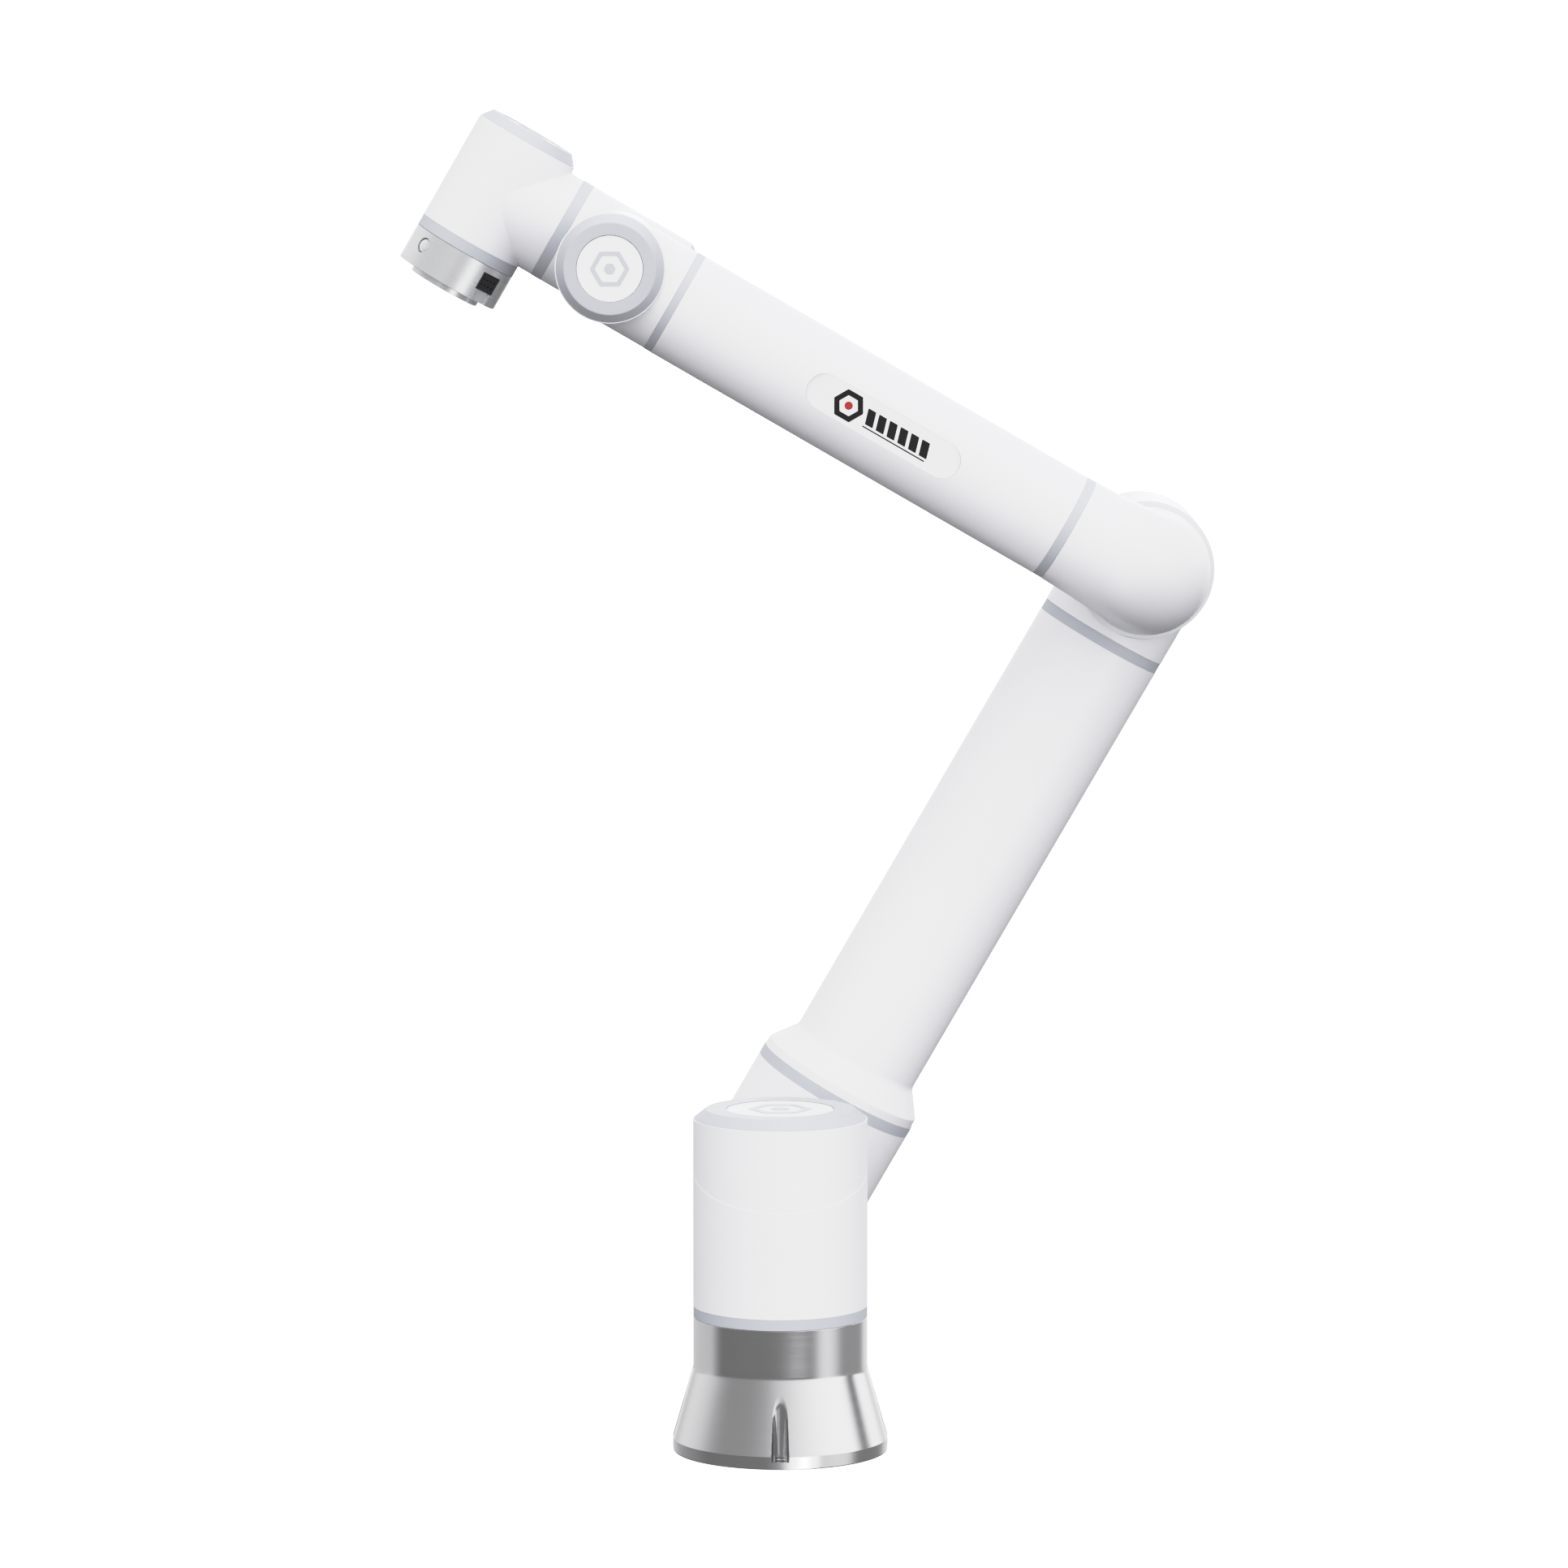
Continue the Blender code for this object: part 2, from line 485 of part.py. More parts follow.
plate_outline = [(0.0, PLATE_FACE), (PLATE_RADIUS - 0.0005, PLATE_FACE),
                 (PLATE_RADIUS, PLATE_FACE - 0.0005), (PLATE_RADIUS, FLANGE_FACE + GAP),
                 (0.0, FLANGE_FACE + GAP)]
plate = finish(turned("tool_plate", plate_outline, SEGMENTS, False, PARTS), ALONG_6, BRUSHED,
               WRIST_3)
cut(plate, plug("plate_centring", 0.01575, PLATE_FACE - 0.0030, PLATE_FACE + 0.01, ALONG_6,
                FINE_SEGMENTS))
for index in range(4):
    around = ALONG_6 @ Matrix.Rotation(math.radians(45.0 + 90.0 * index), 4, "Z")
    hole = around @ Matrix.Translation((0.0250, 0, 0))
    cut(plate, plug("plate_thread_" + str(index + 1), 0.0025, FLANGE_FACE - 0.01,
                    PLATE_FACE + 0.01, hole, 12))
pin_hole = ALONG_6 @ Matrix.Translation((0.0, 0.0250, 0))
cut(plate, plug("plate_pin_hole", 0.0030, FLANGE_FACE - 0.01, PLATE_FACE + 0.01, pin_hole, 12))

for piece in list(PARTS.objects):
    if piece.type == "MESH" and piece.name != "tool_connector" and piece.name != "forearm_plaque":
        piece.data.set_sharp_from_angle(angle=math.radians(30.0))
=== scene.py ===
"""Looks of the six-axis robot arm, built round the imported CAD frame.  Metres, +Z up."""

import json
import math

import bmesh
import bpy
import numpy as np
from mathutils import Matrix, Vector


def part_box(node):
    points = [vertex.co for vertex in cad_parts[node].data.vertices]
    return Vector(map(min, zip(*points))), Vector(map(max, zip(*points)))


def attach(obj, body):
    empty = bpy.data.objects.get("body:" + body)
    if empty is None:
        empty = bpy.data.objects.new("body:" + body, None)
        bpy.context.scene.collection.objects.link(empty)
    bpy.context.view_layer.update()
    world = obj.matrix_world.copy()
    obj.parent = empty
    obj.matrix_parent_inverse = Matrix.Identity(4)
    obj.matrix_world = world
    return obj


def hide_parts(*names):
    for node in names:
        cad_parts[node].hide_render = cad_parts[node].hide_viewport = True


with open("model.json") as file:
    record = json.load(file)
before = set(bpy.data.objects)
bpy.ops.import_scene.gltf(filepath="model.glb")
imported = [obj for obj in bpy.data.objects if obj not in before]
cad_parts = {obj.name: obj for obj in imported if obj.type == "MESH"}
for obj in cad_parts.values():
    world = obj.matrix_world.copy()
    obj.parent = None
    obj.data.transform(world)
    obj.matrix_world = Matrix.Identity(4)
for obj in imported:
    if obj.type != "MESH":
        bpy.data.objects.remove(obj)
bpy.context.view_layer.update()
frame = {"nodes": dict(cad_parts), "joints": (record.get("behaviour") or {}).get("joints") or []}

# ---- joint frames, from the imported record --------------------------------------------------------
X, Y, Z = Vector((1, 0, 0)), Vector((0, 1, 0)), Vector((0, 0, 1))
JOINTS = {joint["name"]: joint for joint in frame["joints"]}


def pivot(name):
    return Vector(JOINTS[name]["pos_m"])


P1, P2, P3 = pivot("joint_1_base"), pivot("joint_2_shoulder"), pivot("joint_3_elbow")
P4, P5, P6 = pivot("joint_4_wrist"), pivot("joint_5_wrist"), pivot("joint_6_flange")
ARM = (P3 - P2).normalized()
FORE = Vector(JOINTS["joint_5_wrist"]["axis"]).normalized()
TOOL = Vector(JOINTS["joint_6_flange"]["axis"]).normalized()
ELBOW = Vector((P3.x, P4.y, P3.z))


def at(origin, axis, side):
    """Placement with local +Z along axis and local +X along side."""
    z = axis.normalized()
    x = (side - z * side.dot(z)).normalized()
    turn = Matrix((x, z.cross(x), z)).transposed().to_4x4()
    return Matrix.Translation(origin) @ turn


UP = Matrix.Identity(4)
AT = {
    "shoulder": at(P1, Z, Y), "upper_arm": at(P2, Y, ARM), "elbow": at(P3, Y, -ARM),
    "wrist_1": at(P4, -Y, -FORE), "wrist_2": at(P5, -FORE, -Y), "wrist_3": at(P6, -TOOL, -FORE),
}
ALONG_UPPER = at(P2, ARM, Y)
ALONG_FORE = at(ELBOW, FORE, -Y)
ALONG_5 = at(P5, FORE, Y)
ALONG_6 = at(P6, TOOL, -Y)
ACROSS = at(Vector((P3.x, 0, P3.z)), Y, X)
ACROSS_4 = at(Vector((P4.x, 0, P4.z)), Y, X)


def measure(node, place):
    """Lowest and highest station along place's axis, and the outer radius, of a CAD node."""
    inverse = np.array(place.inverted())
    mesh = frame["nodes"][node].data
    points = np.array([vertex.co for vertex in mesh.vertices], float)
    points = points @ inverse[:3, :3].T + inverse[:3, 3]
    return points[:, 2].min(), points[:, 2].max(), np.hypot(points[:, 0], points[:, 1]).max()


def local_spots(node, place):
    """A CAD node's points in place's own axes."""
    inverse = place.inverted()
    return [inverse @ vertex.co for vertex in frame["nodes"][node].data.vertices]


# ---- materials -----------------------------------------------------------------------------------
class Nodes:
    """Short calls for building a node tree."""

    def __init__(self, tree):
        self.tree = tree

    def add(self, kind, **inputs):
        node = self.tree.nodes.new(kind)
        for name, value in inputs.items():
            self.put(node, name.replace("_", " "), value)
        return node

    def put(self, node, name, value):
        socket = node.inputs[int(name)] if name.isdigit() else node.inputs[name]
        if isinstance(value, bpy.types.NodeSocket):
            self.tree.links.new(value, socket)
        else:
            socket.default_value = value

    def math(self, operation, first, second=0.0, third=0.0):
        node = self.tree.nodes.new("ShaderNodeMath")
        node.operation = operation
        for index, value in enumerate((first, second, third)):
            if isinstance(value, bpy.types.NodeSocket):
                self.tree.links.new(value, node.inputs[index])
            else:
                node.inputs[index].default_value = value
        return node.outputs[0]

    def ramp(self, value, low, high, start=0.0, end=1.0, smooth=True):
        node = self.tree.nodes.new("ShaderNodeMapRange")
        node.interpolation_type = "SMOOTHSTEP" if smooth else "LINEAR"
        for index, number in enumerate((value, low, high, start, end)):
            if isinstance(number, bpy.types.NodeSocket):
                self.tree.links.new(number, node.inputs[index])
            else:
                node.inputs[index].default_value = number
        return node.outputs[0]

    def noise(self, vector, scale, detail=3.0, rough=0.5):
        node = self.add("ShaderNodeTexNoise", Scale=scale, Detail=detail, Roughness=rough)
        if vector is not None:
            self.tree.links.new(vector, node.inputs["Vector"])
        return node.outputs["Fac"]

    def mix(self, amount, first, second):
        node = self.tree.nodes.new("ShaderNodeMix")
        node.data_type = "RGBA"
        self.put(node, "Factor", amount)
        for name, value in (("6", first), ("7", second)):
            if not isinstance(value, bpy.types.NodeSocket):
                value = (*value, 1.0)
            self.put(node, name, value)
        return node.outputs[2]

    def bump(self, height, strength, distance):
        node = self.add("ShaderNodeBump", Height=height, Strength=strength, Distance=distance)
        return node.outputs["Normal"]


def new_material(name):
    """A material with its node tree, its shader and the piece's own coordinates."""
    mat = bpy.data.materials.new(name)
    mat.use_nodes = True
    tree = Nodes(mat.node_tree)
    shader = mat.node_tree.nodes["Principled BSDF"]
    return mat, tree, shader, tree.add("ShaderNodeTexCoord").outputs["Object"]


def painted(name, color, roughness, vary=0.012, grain=900.0, depth=0.00004, strength=0.15,
            metallic=0.0, coat=0.0, speckle=0.0, specular=0.5):
    """Moulded or painted finish: slow colour drift, fine grain in bump, uneven gloss."""
    mat, tree, shader, place = new_material(name)
    drift = tree.noise(place, 7.0, 2.0)
    fine = tree.noise(place, grain, 2.0)
    dark = tuple(channel * (1.0 - vary * 2.0) for channel in color)
    light = tuple(min(channel * (1.0 + vary), 1.0) for channel in color)
    tone = tree.mix(drift, dark, light)
    if speckle:
        spots = tree.ramp(fine, 0.62, 0.72)
        tone = tree.mix(tree.math("MULTIPLY", spots, speckle), tone,
                        tuple(channel * 0.75 for channel in color))
    tree.put(shader, "Base Color", tone)
    smudge = tree.noise(place, 32.0, 4.0, 0.6)
    tree.put(shader, "Roughness", tree.ramp(smudge, 0.3, 0.7, roughness - 0.03, roughness + 0.04))
    tree.put(shader, "Metallic", metallic)
    tree.put(shader, "Coat Weight", coat)
    tree.put(shader, "Coat Roughness", 0.22)
    tree.put(shader, "Specular IOR Level", specular)
    tree.put(shader, "Normal", tree.bump(fine, strength, depth))
    return mat


def turned_metal(name, color, roughness, lines=2600.0, strength=0.12, metallic=1.0):
    """Metal turned on a lathe: fine rings round local Z, with faint brightness variation."""
    mat, tree, shader, place = new_material(name)
    split = tree.add("ShaderNodeSeparateXYZ", Vector=place)
    across = tree.math("SQRT", tree.math("ADD", tree.math("POWER", split.outputs[0], 2.0),
                                         tree.math("POWER", split.outputs[1], 2.0)))
    polar = tree.add("ShaderNodeCombineXYZ", X=across, Y=split.outputs[2]).outputs[0]
    rings = tree.noise(polar, lines, 2.0, 0.6)
    bands = tree.noise(polar, lines * 0.06, 3.0, 0.6)
    cloud = tree.noise(place, 18.0, 3.0, 0.55)
    dark = tuple(channel * 0.93 for channel in color)
    tone = tree.mix(tree.math("MULTIPLY_ADD", rings, 0.5, tree.math("MULTIPLY", bands, 0.5)),
                    dark, color)
    tree.put(shader, "Base Color", tone)
    tree.put(shader, "Metallic", metallic)
    rough = tree.math("MULTIPLY_ADD", cloud, 0.05, roughness - 0.025)
    rough = tree.math("MULTIPLY_ADD", bands, 0.06, tree.math("SUBTRACT", rough, 0.03))
    tree.put(shader, "Roughness", rough)
    tree.put(shader, "Normal", tree.bump(rings, strength, 0.00002))
    return mat


def circuit(name):
    """Green solder mask with paler tracks and tinned pads."""
    mat, tree, shader, place = new_material(name)
    cells = tree.add("ShaderNodeTexVoronoi", Vector=place, Scale=260.0)
    cells.distance = "MANHATTAN"
    tracks = tree.ramp(cells.outputs["Distance"], 0.46, 0.5)
    pads = tree.ramp(cells.outputs["Distance"], 0.16, 0.12)
    tone = tree.mix(tracks, (0.015, 0.13, 0.06), (0.05, 0.26, 0.11))
    tree.put(shader, "Base Color", tree.mix(pads, tone, (0.72, 0.70, 0.66)))
    tree.put(shader, "Metallic", pads)
    tree.put(shader, "Roughness", tree.ramp(pads, 0.0, 1.0, 0.42, 0.3))
    tree.put(shader, "Normal", tree.bump(tracks, 0.3, 0.00005))
    return mat


def winding(name):
    """Enamelled copper wire laid side by side."""
    mat, tree, shader, place = new_material(name)
    wires = tree.add("ShaderNodeTexWave", Vector=place, Scale=420.0, Distortion=1.5)
    tone = tree.mix(wires.outputs["Fac"], (0.20, 0.07, 0.03), (0.62, 0.27, 0.12))
    tree.put(shader, "Base Color", tone)
    tree.put(shader, "Metallic", 0.8)
    tree.put(shader, "Roughness", tree.ramp(wires.outputs["Fac"], 0.0, 1.0, 0.5, 0.28))
    tree.put(shader, "Normal", tree.bump(wires.outputs["Fac"], 0.5, 0.0002))
    return mat


SHELL = painted("white_shell", (0.800, 0.797, 0.826), 0.36, coat=0.22, grain=1400.0)
RING = painted("grey_ring", (0.490, 0.500, 0.535), 0.52, vary=0.02, grain=2200.0, depth=0.00006,
               strength=0.3, speckle=0.35, specular=0.35)
CAP = painted("grey_cap", (0.480, 0.487, 0.520), 0.44, vary=0.015, grain=1900.0, depth=0.00005,
              strength=0.22, speckle=0.15, specular=0.4)
BADGE = painted("badge_white", (0.84, 0.84, 0.855), 0.34, vary=0.01, grain=1600.0, strength=0.08)
EMBLEM = painted("emblem_grey", (0.510, 0.520, 0.550), 0.42, vary=0.015, grain=1800.0)
FOOT = turned_metal("machined_metal", (0.80, 0.795, 0.80), 0.17)
FLANGE = turned_metal("flange_metal", (0.74, 0.74, 0.75), 0.28, lines=2200.0, metallic=0.55)
PLATE = turned_metal("plate_metal", (0.80, 0.80, 0.81), 0.22, lines=1900.0, metallic=0.5)
BUTTON = turned_metal("button_metal", (0.84, 0.84, 0.85), 0.22, lines=3200.0, strength=0.05,
                      metallic=0.55)
BLACK = painted("black_plastic", (0.022, 0.022, 0.024), 0.46, vary=0.08, grain=2400.0,
                depth=0.00008, strength=0.4, speckle=0.4)
INK = painted("black_ink", (0.012, 0.011, 0.012), 0.38, vary=0.05, grain=3000.0, strength=0.05)
RED = painted("red_ink", (0.42, 0.035, 0.035), 0.38, vary=0.04, grain=3000.0, strength=0.05)
GOLD = turned_metal("contact_gold", (0.80, 0.58, 0.25), 0.25)
STEEL = painted("gear_steel", (0.50, 0.50, 0.52), 0.36, vary=0.04, grain=700.0, strength=0.2,
                metallic=1.0)
COPPER = winding("motor_winding")
BOARD = circuit("circuit_board")
TURNED = (FOOT, FLANGE, PLATE, BUTTON)   # their rings need the piece's own lathe axis


# ---- mesh helpers --------------------------------------------------------------------------------
def quads(faces, first, second):
    """Join two loops of vertex numbers by a band of faces."""
    count = len(first)
    for index in range(count):
        following = (index + 1) % count
        faces.append([first[index], first[following], second[following], second[index]])


def build(name, verts, faces, place, mat):
    """Object from points and faces, with coincident points merged and normals made consistent."""
    mesh = bpy.data.meshes.new(name)
    mesh.from_pydata([tuple(float(c) for c in v) for v in verts], [], faces)
    shape = bmesh.new()
    shape.from_mesh(mesh)
    bmesh.ops.remove_doubles(shape, verts=shape.verts, dist=0.000003)
    bmesh.ops.dissolve_degenerate(shape, edges=shape.edges, dist=0.000001)
    bmesh.ops.recalc_face_normals(shape, faces=shape.faces)
    shape.to_mesh(mesh)
    shape.free()
    mesh.materials.append(mat)
    if mat not in TURNED:
        mesh.transform(place)
        place = UP
    obj = bpy.data.objects.new(name, mesh)
    bpy.context.scene.collection.objects.link(obj)
    obj.matrix_world = place
    return obj


def use(obj, body, slot, *nodes, angle=34.0, barrel=0.0):
    """Smooth the piece, hang it on its body and let it stand for its CAD nodes.

    barrel is the radius of a wall round local Z whose normals are kept exactly radial.
    """
    mesh = obj.data
    mesh.polygons.foreach_set("use_smooth", [True] * len(mesh.polygons))
    mesh.set_sharp_from_angle(angle=math.radians(angle))
    if barrel:
        normals = [Vector(corner.vector) for corner in mesh.corner_normals]
        for face in mesh.polygons:
            spots = [mesh.vertices[index].co for index in face.vertices]
            inmost = min(spot.xy.length for spot in spots)
            if abs(face.normal.z) < 0.02 and inmost > barrel - 0.0002:
                for corner, spot in zip(face.loop_indices, spots):
                    normals[corner] = Vector((spot.x, spot.y, 0.0)).normalized()
        mesh.normals_split_custom_set(normals)
    else:
        weighted = obj.modifiers.new("weighted", "WEIGHTED_NORMAL")
        weighted.keep_sharp = True
    if nodes:
        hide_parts(*nodes)
    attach(obj, body)
    return obj


def carve(obj, *cutters):
    """Cut pieces away, clean the mesh and throw the cutters away."""
    for cutter in cutters:
        step = obj.modifiers.new("cut", "BOOLEAN")
        step.operation, step.object, step.solver = "DIFFERENCE", cutter, "EXACT"
    bpy.context.view_layer.update()
    result = bpy.data.meshes.new_from_object(
        obj.evaluated_get(bpy.context.evaluated_depsgraph_get()))
    obj.modifiers.clear()
    shape = bmesh.new()
    shape.from_mesh(result)
    bmesh.ops.remove_doubles(shape, verts=shape.verts, dist=0.000002)
    many = [face for face in shape.faces if len(face.verts) > 4]
    bmesh.ops.triangulate(shape, faces=many, ngon_method="BEAUTY")
    bmesh.ops.dissolve_degenerate(shape, edges=shape.edges, dist=0.000002)
    shape.to_mesh(result)
    shape.free()
    obj.data = result
    for cutter in cutters:
        bpy.data.objects.remove(cutter, do_unlink=True)
    return obj


def soften(corners, closed, steps=4):
    """Replace (x, y, fillet) corners of an outline by arcs."""
    points = []
    count = len(corners)
    for index, (x, y, fillet) in enumerate(corners):
        inner = closed or 0 < index < count - 1
        if fillet <= 0.0 or not inner:
            points.append((x, y))
            continue
        here = Vector((x, y))
        before = Vector(corners[index - 1][:2]) - here
        after = Vector(corners[(index + 1) % count][:2]) - here
        half = before.angle(after) / 2.0
        reach = min(fillet / math.tan(half), before.length * 0.49, after.length * 0.49)
        radius = reach * math.tan(half)
        before.normalize()
        after.normalize()
        centre = here + (before + after).normalized() * (radius / math.sin(half))
        first, last = here + before * reach - centre, here + after * reach - centre
        sweep = first.angle_signed(last)
        for step in range(steps + 1):
            turn = Matrix.Rotation(-sweep * step / steps, 2)
            spot = centre + turn @ first
            points.append((spot.x, spot.y))
    return points


def lathe(name, corners, place, mat, closed=True, segments=96, steps=4):
    """Turn an outline of (radius, height, fillet) corners about local Z."""
    profile = soften(corners, closed, steps)
    verts, faces, rings = [], [], []
    for radius, height in profile:
        if radius < 1e-7:
            rings.append([len(verts)] * segments)
            verts.append((0.0, 0.0, height))
            continue
        rings.append(list(range(len(verts), len(verts) + segments)))
        for step in range(segments):
            angle = math.tau * step / segments
            verts.append((radius * math.cos(angle), radius * math.sin(angle), height))
    pairs = list(zip(rings, rings[1:])) + ([(rings[-1], rings[0])] if closed else [])
    for low, high in pairs:
        for step in range(segments):
            following = (step + 1) % segments
            face = [low[step], low[following], high[following], high[step]]
            face = list(dict.fromkeys(face))
            if len(face) > 2:
                faces.append(face)
    return build(name, verts, faces, place, mat)


def drill(name, radius, low, high, place, mat, segments):
    """A plain round cutter between two stations."""
    corners = [(0.0, low, 0), (radius, low, 0), (radius, high, 0), (0.0, high, 0)]
    return lathe(name, corners, place, mat, closed=False, segments=segments)


def prism(name, outlines, low, high, place, mat, edge=0.0):
    """Straight-sided plates from closed outlines; a pair (outer, inner) makes a frame."""
    verts, faces = [], []

    def layer(points, height):
        start = len(verts)
        verts.extend((x, y, height) for x, y in points)
        return list(range(start, start + len(points)))

    def shrink(points, amount):
        middle = Vector((0.0, 0.0))
        for point in points:
            middle += Vector(point)
        middle /= len(points)
        out = []
        for point in points:
            arm = Vector(point) - middle
            out.append(tuple(middle + arm * max(0.0, 1.0 - amount / max(arm.length, 1e-6))))
        return out

    for outline in outlines:
        if isinstance(outline, tuple):
            outer, inner = outline
            a, b = layer(outer, low), layer(outer, high)
            c, d = layer(inner, high), layer(inner, low)
            for first, second in ((a, b), (b, c), (c, d), (d, a)):
                quads(faces, first, second)
            continue
        bottom, top = layer(outline, low), layer(outline, high - edge)
        quads(faces, bottom, top)
        if edge:
            crown = layer(shrink(outline, edge), high)
            quads(faces, top, crown)
            top = crown
        faces.append(bottom[::-1])
        faces.append(top)
    return build(name, verts, faces, place, mat)


def circle(radius, count, x=0.0, y=0.0):
    return [(x + radius * math.cos(math.tau * step / count),
             y + radius * math.sin(math.tau * step / count)) for step in range(count)]


def polygon(radius, sides, fillet, turn=0.0, x=0.0, y=0.0):
    corners = [(x + radius * math.cos(math.tau * side / sides + turn),
                y + radius * math.sin(math.tau * side / sides + turn), fillet)
               for side in range(sides)]
    return soften(corners, True)


def stadium_outline(half, radius, count=24):
    points = []
    for centre, start in ((half, -90.0), (-half, 90.0)):
        for step in range(count + 1):
            angle = math.radians(start + 180.0 * step / count)
            points.append((centre + radius * math.cos(angle), radius * math.sin(angle)))
    return points


# ---- joint module shells -------------------------------------------------------------------------
WALL = 0.0045
RING_LAP = 0.00022                       # the seals close up to their neighbours
RING_DEPTH = 0.0060                      # from a seal's outside to its inside
DECK = 0.0060                            # thickness of the floor round a module's lower port
PORT_SHARE = 0.55                        # radius of the ports as a share of the drum's
EDGE, FOOT_EDGE = 0.0005, 0.00015        # rounding of a shell's open end and of its butt faces
# stations between the drum's and branch's crease and a shell's ends, closest at the crease
ROWS = (0.0, 0.012, 0.028, 0.048, 0.075, 0.11, 0.16, 0.23, 0.32, 0.42, 0.54, 0.66, 0.78, 0.90,
        1.0)
SEAM_ROWS = (-0.008, -0.004, 0.0, 0.004, 0.008)
SEAM_WIDTH = 0.0009


def tee_shell(name, place, radius, low, high, reach, branch, fillet, seam=None):
    """Hollow drum along local Z with a side branch along local +X, blended by a fillet.

    seam is (station at the sides, station opposite the branch, step) of a raised parting step.
    """
    half = 64
    angles, creases = [], []
    for step in range(half + 1):
        theta = math.pi * step / half
        angles.append(math.asin(branch * math.cos(theta) / radius))
        creases.append(branch * math.sin(theta))
    span = math.tau - 2.0 * angles[0]
    back = half + 8
    for step in range(1, back):
        angles.append(angles[half] - span * step / back)
        creases.append(0.0)
    angles, creases = np.array(angles), np.array(creases)
    top, bottom = high - EDGE, -low - FOOT_EDGE
    rows = list(ROWS)
    away = np.clip(-np.cos(angles), 0.0, 1.0)
    if seam:
        share = seam[0] / top
        rows = sorted(set(rows) | {share + delta for delta in SEAM_ROWS})
        line = seam[0] + (seam[1] - seam[0]) * away
    verts, faces = [], []

    def ring(radii, heights):
        start = len(verts)
        for angle, r, h in zip(angles, radii, heights):
            verts.append([r * math.cos(angle), r * math.sin(angle), h])
        return list(range(start, start + len(angles)))

    def lines(source):
        for first, second in zip(source, source[1:]):
            quads(faces, first, second)

    flat = np.full(len(angles), radius)
    uppers, lowers = [], []
    for row in rows:
        heights = creases + row * (top - creases)
        if seam:
            below = row / share * line
            above = line + (row - share) / (1.0 - share) * (top - line)
            heights = np.where(away > 0.0, below if row <= share else above, heights)
        uppers.append(ring(flat, heights))
    for row in ROWS:
        lowers.append(ring(flat, -(creases + row * (bottom - creases))))
    blended = len(verts)
    bore, port = radius - WALL, radius * PORT_SHARE
    deck = low + DECK
    lip = []
    for step in range(1, 5):
        turn = math.radians(90.0 * step / 4)
        lip.append((radius - EDGE + EDGE * math.cos(turn), top + EDGE * math.sin(turn)))
    inside = lip + [(bore, high), (bore, deck), (port, deck), (port, low),
                    (radius - FOOT_EDGE, low)]
    loops = [ring(np.full(len(angles), r), np.full(len(angles), h)) for r, h in inside]
    lines(uppers)
    lines([uppers[-1]] + loops + [lowers[-1]])
    lines(lowers)
    back_columns = list(range(half, len(angles))) + [0]
    joined = [uppers[0][i] for i in back_columns], [lowers[0][i] for i in back_columns]
    for (a, b), (c, d) in zip(zip(joined[0], joined[0][1:]), zip(joined[1], joined[1][1:])):
        if a != c:
            faces.append([a, b, d, c])
    around = [math.tau * step / (2 * half) for step in range(2 * half)]
    end = reach - FOOT_EDGE
    start = len(verts)
    tubes = []
    for row in ROWS:
        loop = []
        for theta in around:
            crease = math.sqrt(max(radius ** 2 - (branch * math.cos(theta)) ** 2, 0.0))
            loop.append(len(verts))
            verts.append([crease + row * (end - crease), branch * math.cos(theta),
                          branch * math.sin(theta)])
        tubes.append(loop)
    stop = len(verts)
    for r, x in ((branch - FOOT_EDGE, reach), (port, reach), (port, radius - 0.0020)):
        loop = []
        for theta in around:
            loop.append(len(verts))
            verts.append([x, r * math.cos(theta), r * math.sin(theta)])
        tubes.append(loop)
    lines(tubes)
    faces.append(tubes[-1])
    points = np.array(verts)
    moved = np.r_[0:blended, start:stop]
    moved = moved[points[moved, 0] > 0.0]
    spots = points[moved]

    def field(p):
        """Distance to the drum and branch, joined by the fillet where there is room for it."""
        drum = np.hypot(p[:, 0], p[:, 1]) - radius
        arm = np.hypot(p[:, 1], p[:, 2]) - branch
        arch = np.clip(1.0 - (p[:, 1] / branch) ** 2, 0.0, 1.0)
        rise = np.sqrt(np.clip(branch ** 2 - p[:, 1] ** 2, 0.0, None))
        room = np.where(p[:, 2] < 0.0, bottom - rise, top - rise)
        size = np.clip(np.minimum(fillet * arch, 1.6 * np.clip(room, 0.0, None)), 1e-7, None)
        overlap = np.clip(size - np.abs(drum - arm), 0.0, None) / size
        return np.minimum(drum, arm) - overlap ** 2 * size / 4.0

    delta = 2e-6
    for _ in range(8):                   # slide the points onto the blended surface
        value = field(spots)
        slope = np.zeros_like(spots)
        for axis in range(3):
            nudge = np.zeros(3)
            nudge[axis] = delta
            slope[:, axis] = (field(spots + nudge) - field(spots - nudge)) / (2 * delta)
        length = np.clip((slope ** 2).sum(1), 0.05, None)
        spots = spots - slope * (value / length)[:, None]
    points[moved] = spots
    if seam:
        reach_out = np.hypot(points[:, 0], points[:, 1])
        away_all = np.clip(-points[:, 0] / np.clip(reach_out, 1e-6, None), 0.0, 1.0)
        over = points[:, 2] - (seam[0] + (seam[1] - seam[0]) * away_all)
        blend = np.clip(over / SEAM_WIDTH + 0.5, 0.0, 1.0) * np.clip(away_all / 0.12, 0.0, 1.0)
        blend = np.where(reach_out > radius - 0.0012, blend, 0.0)
        points[:, :2] *= (1.0 - seam[2] * blend / np.clip(reach_out, 1e-6, None))[:, None]
    return build(name, points, faces, place, SHELL)


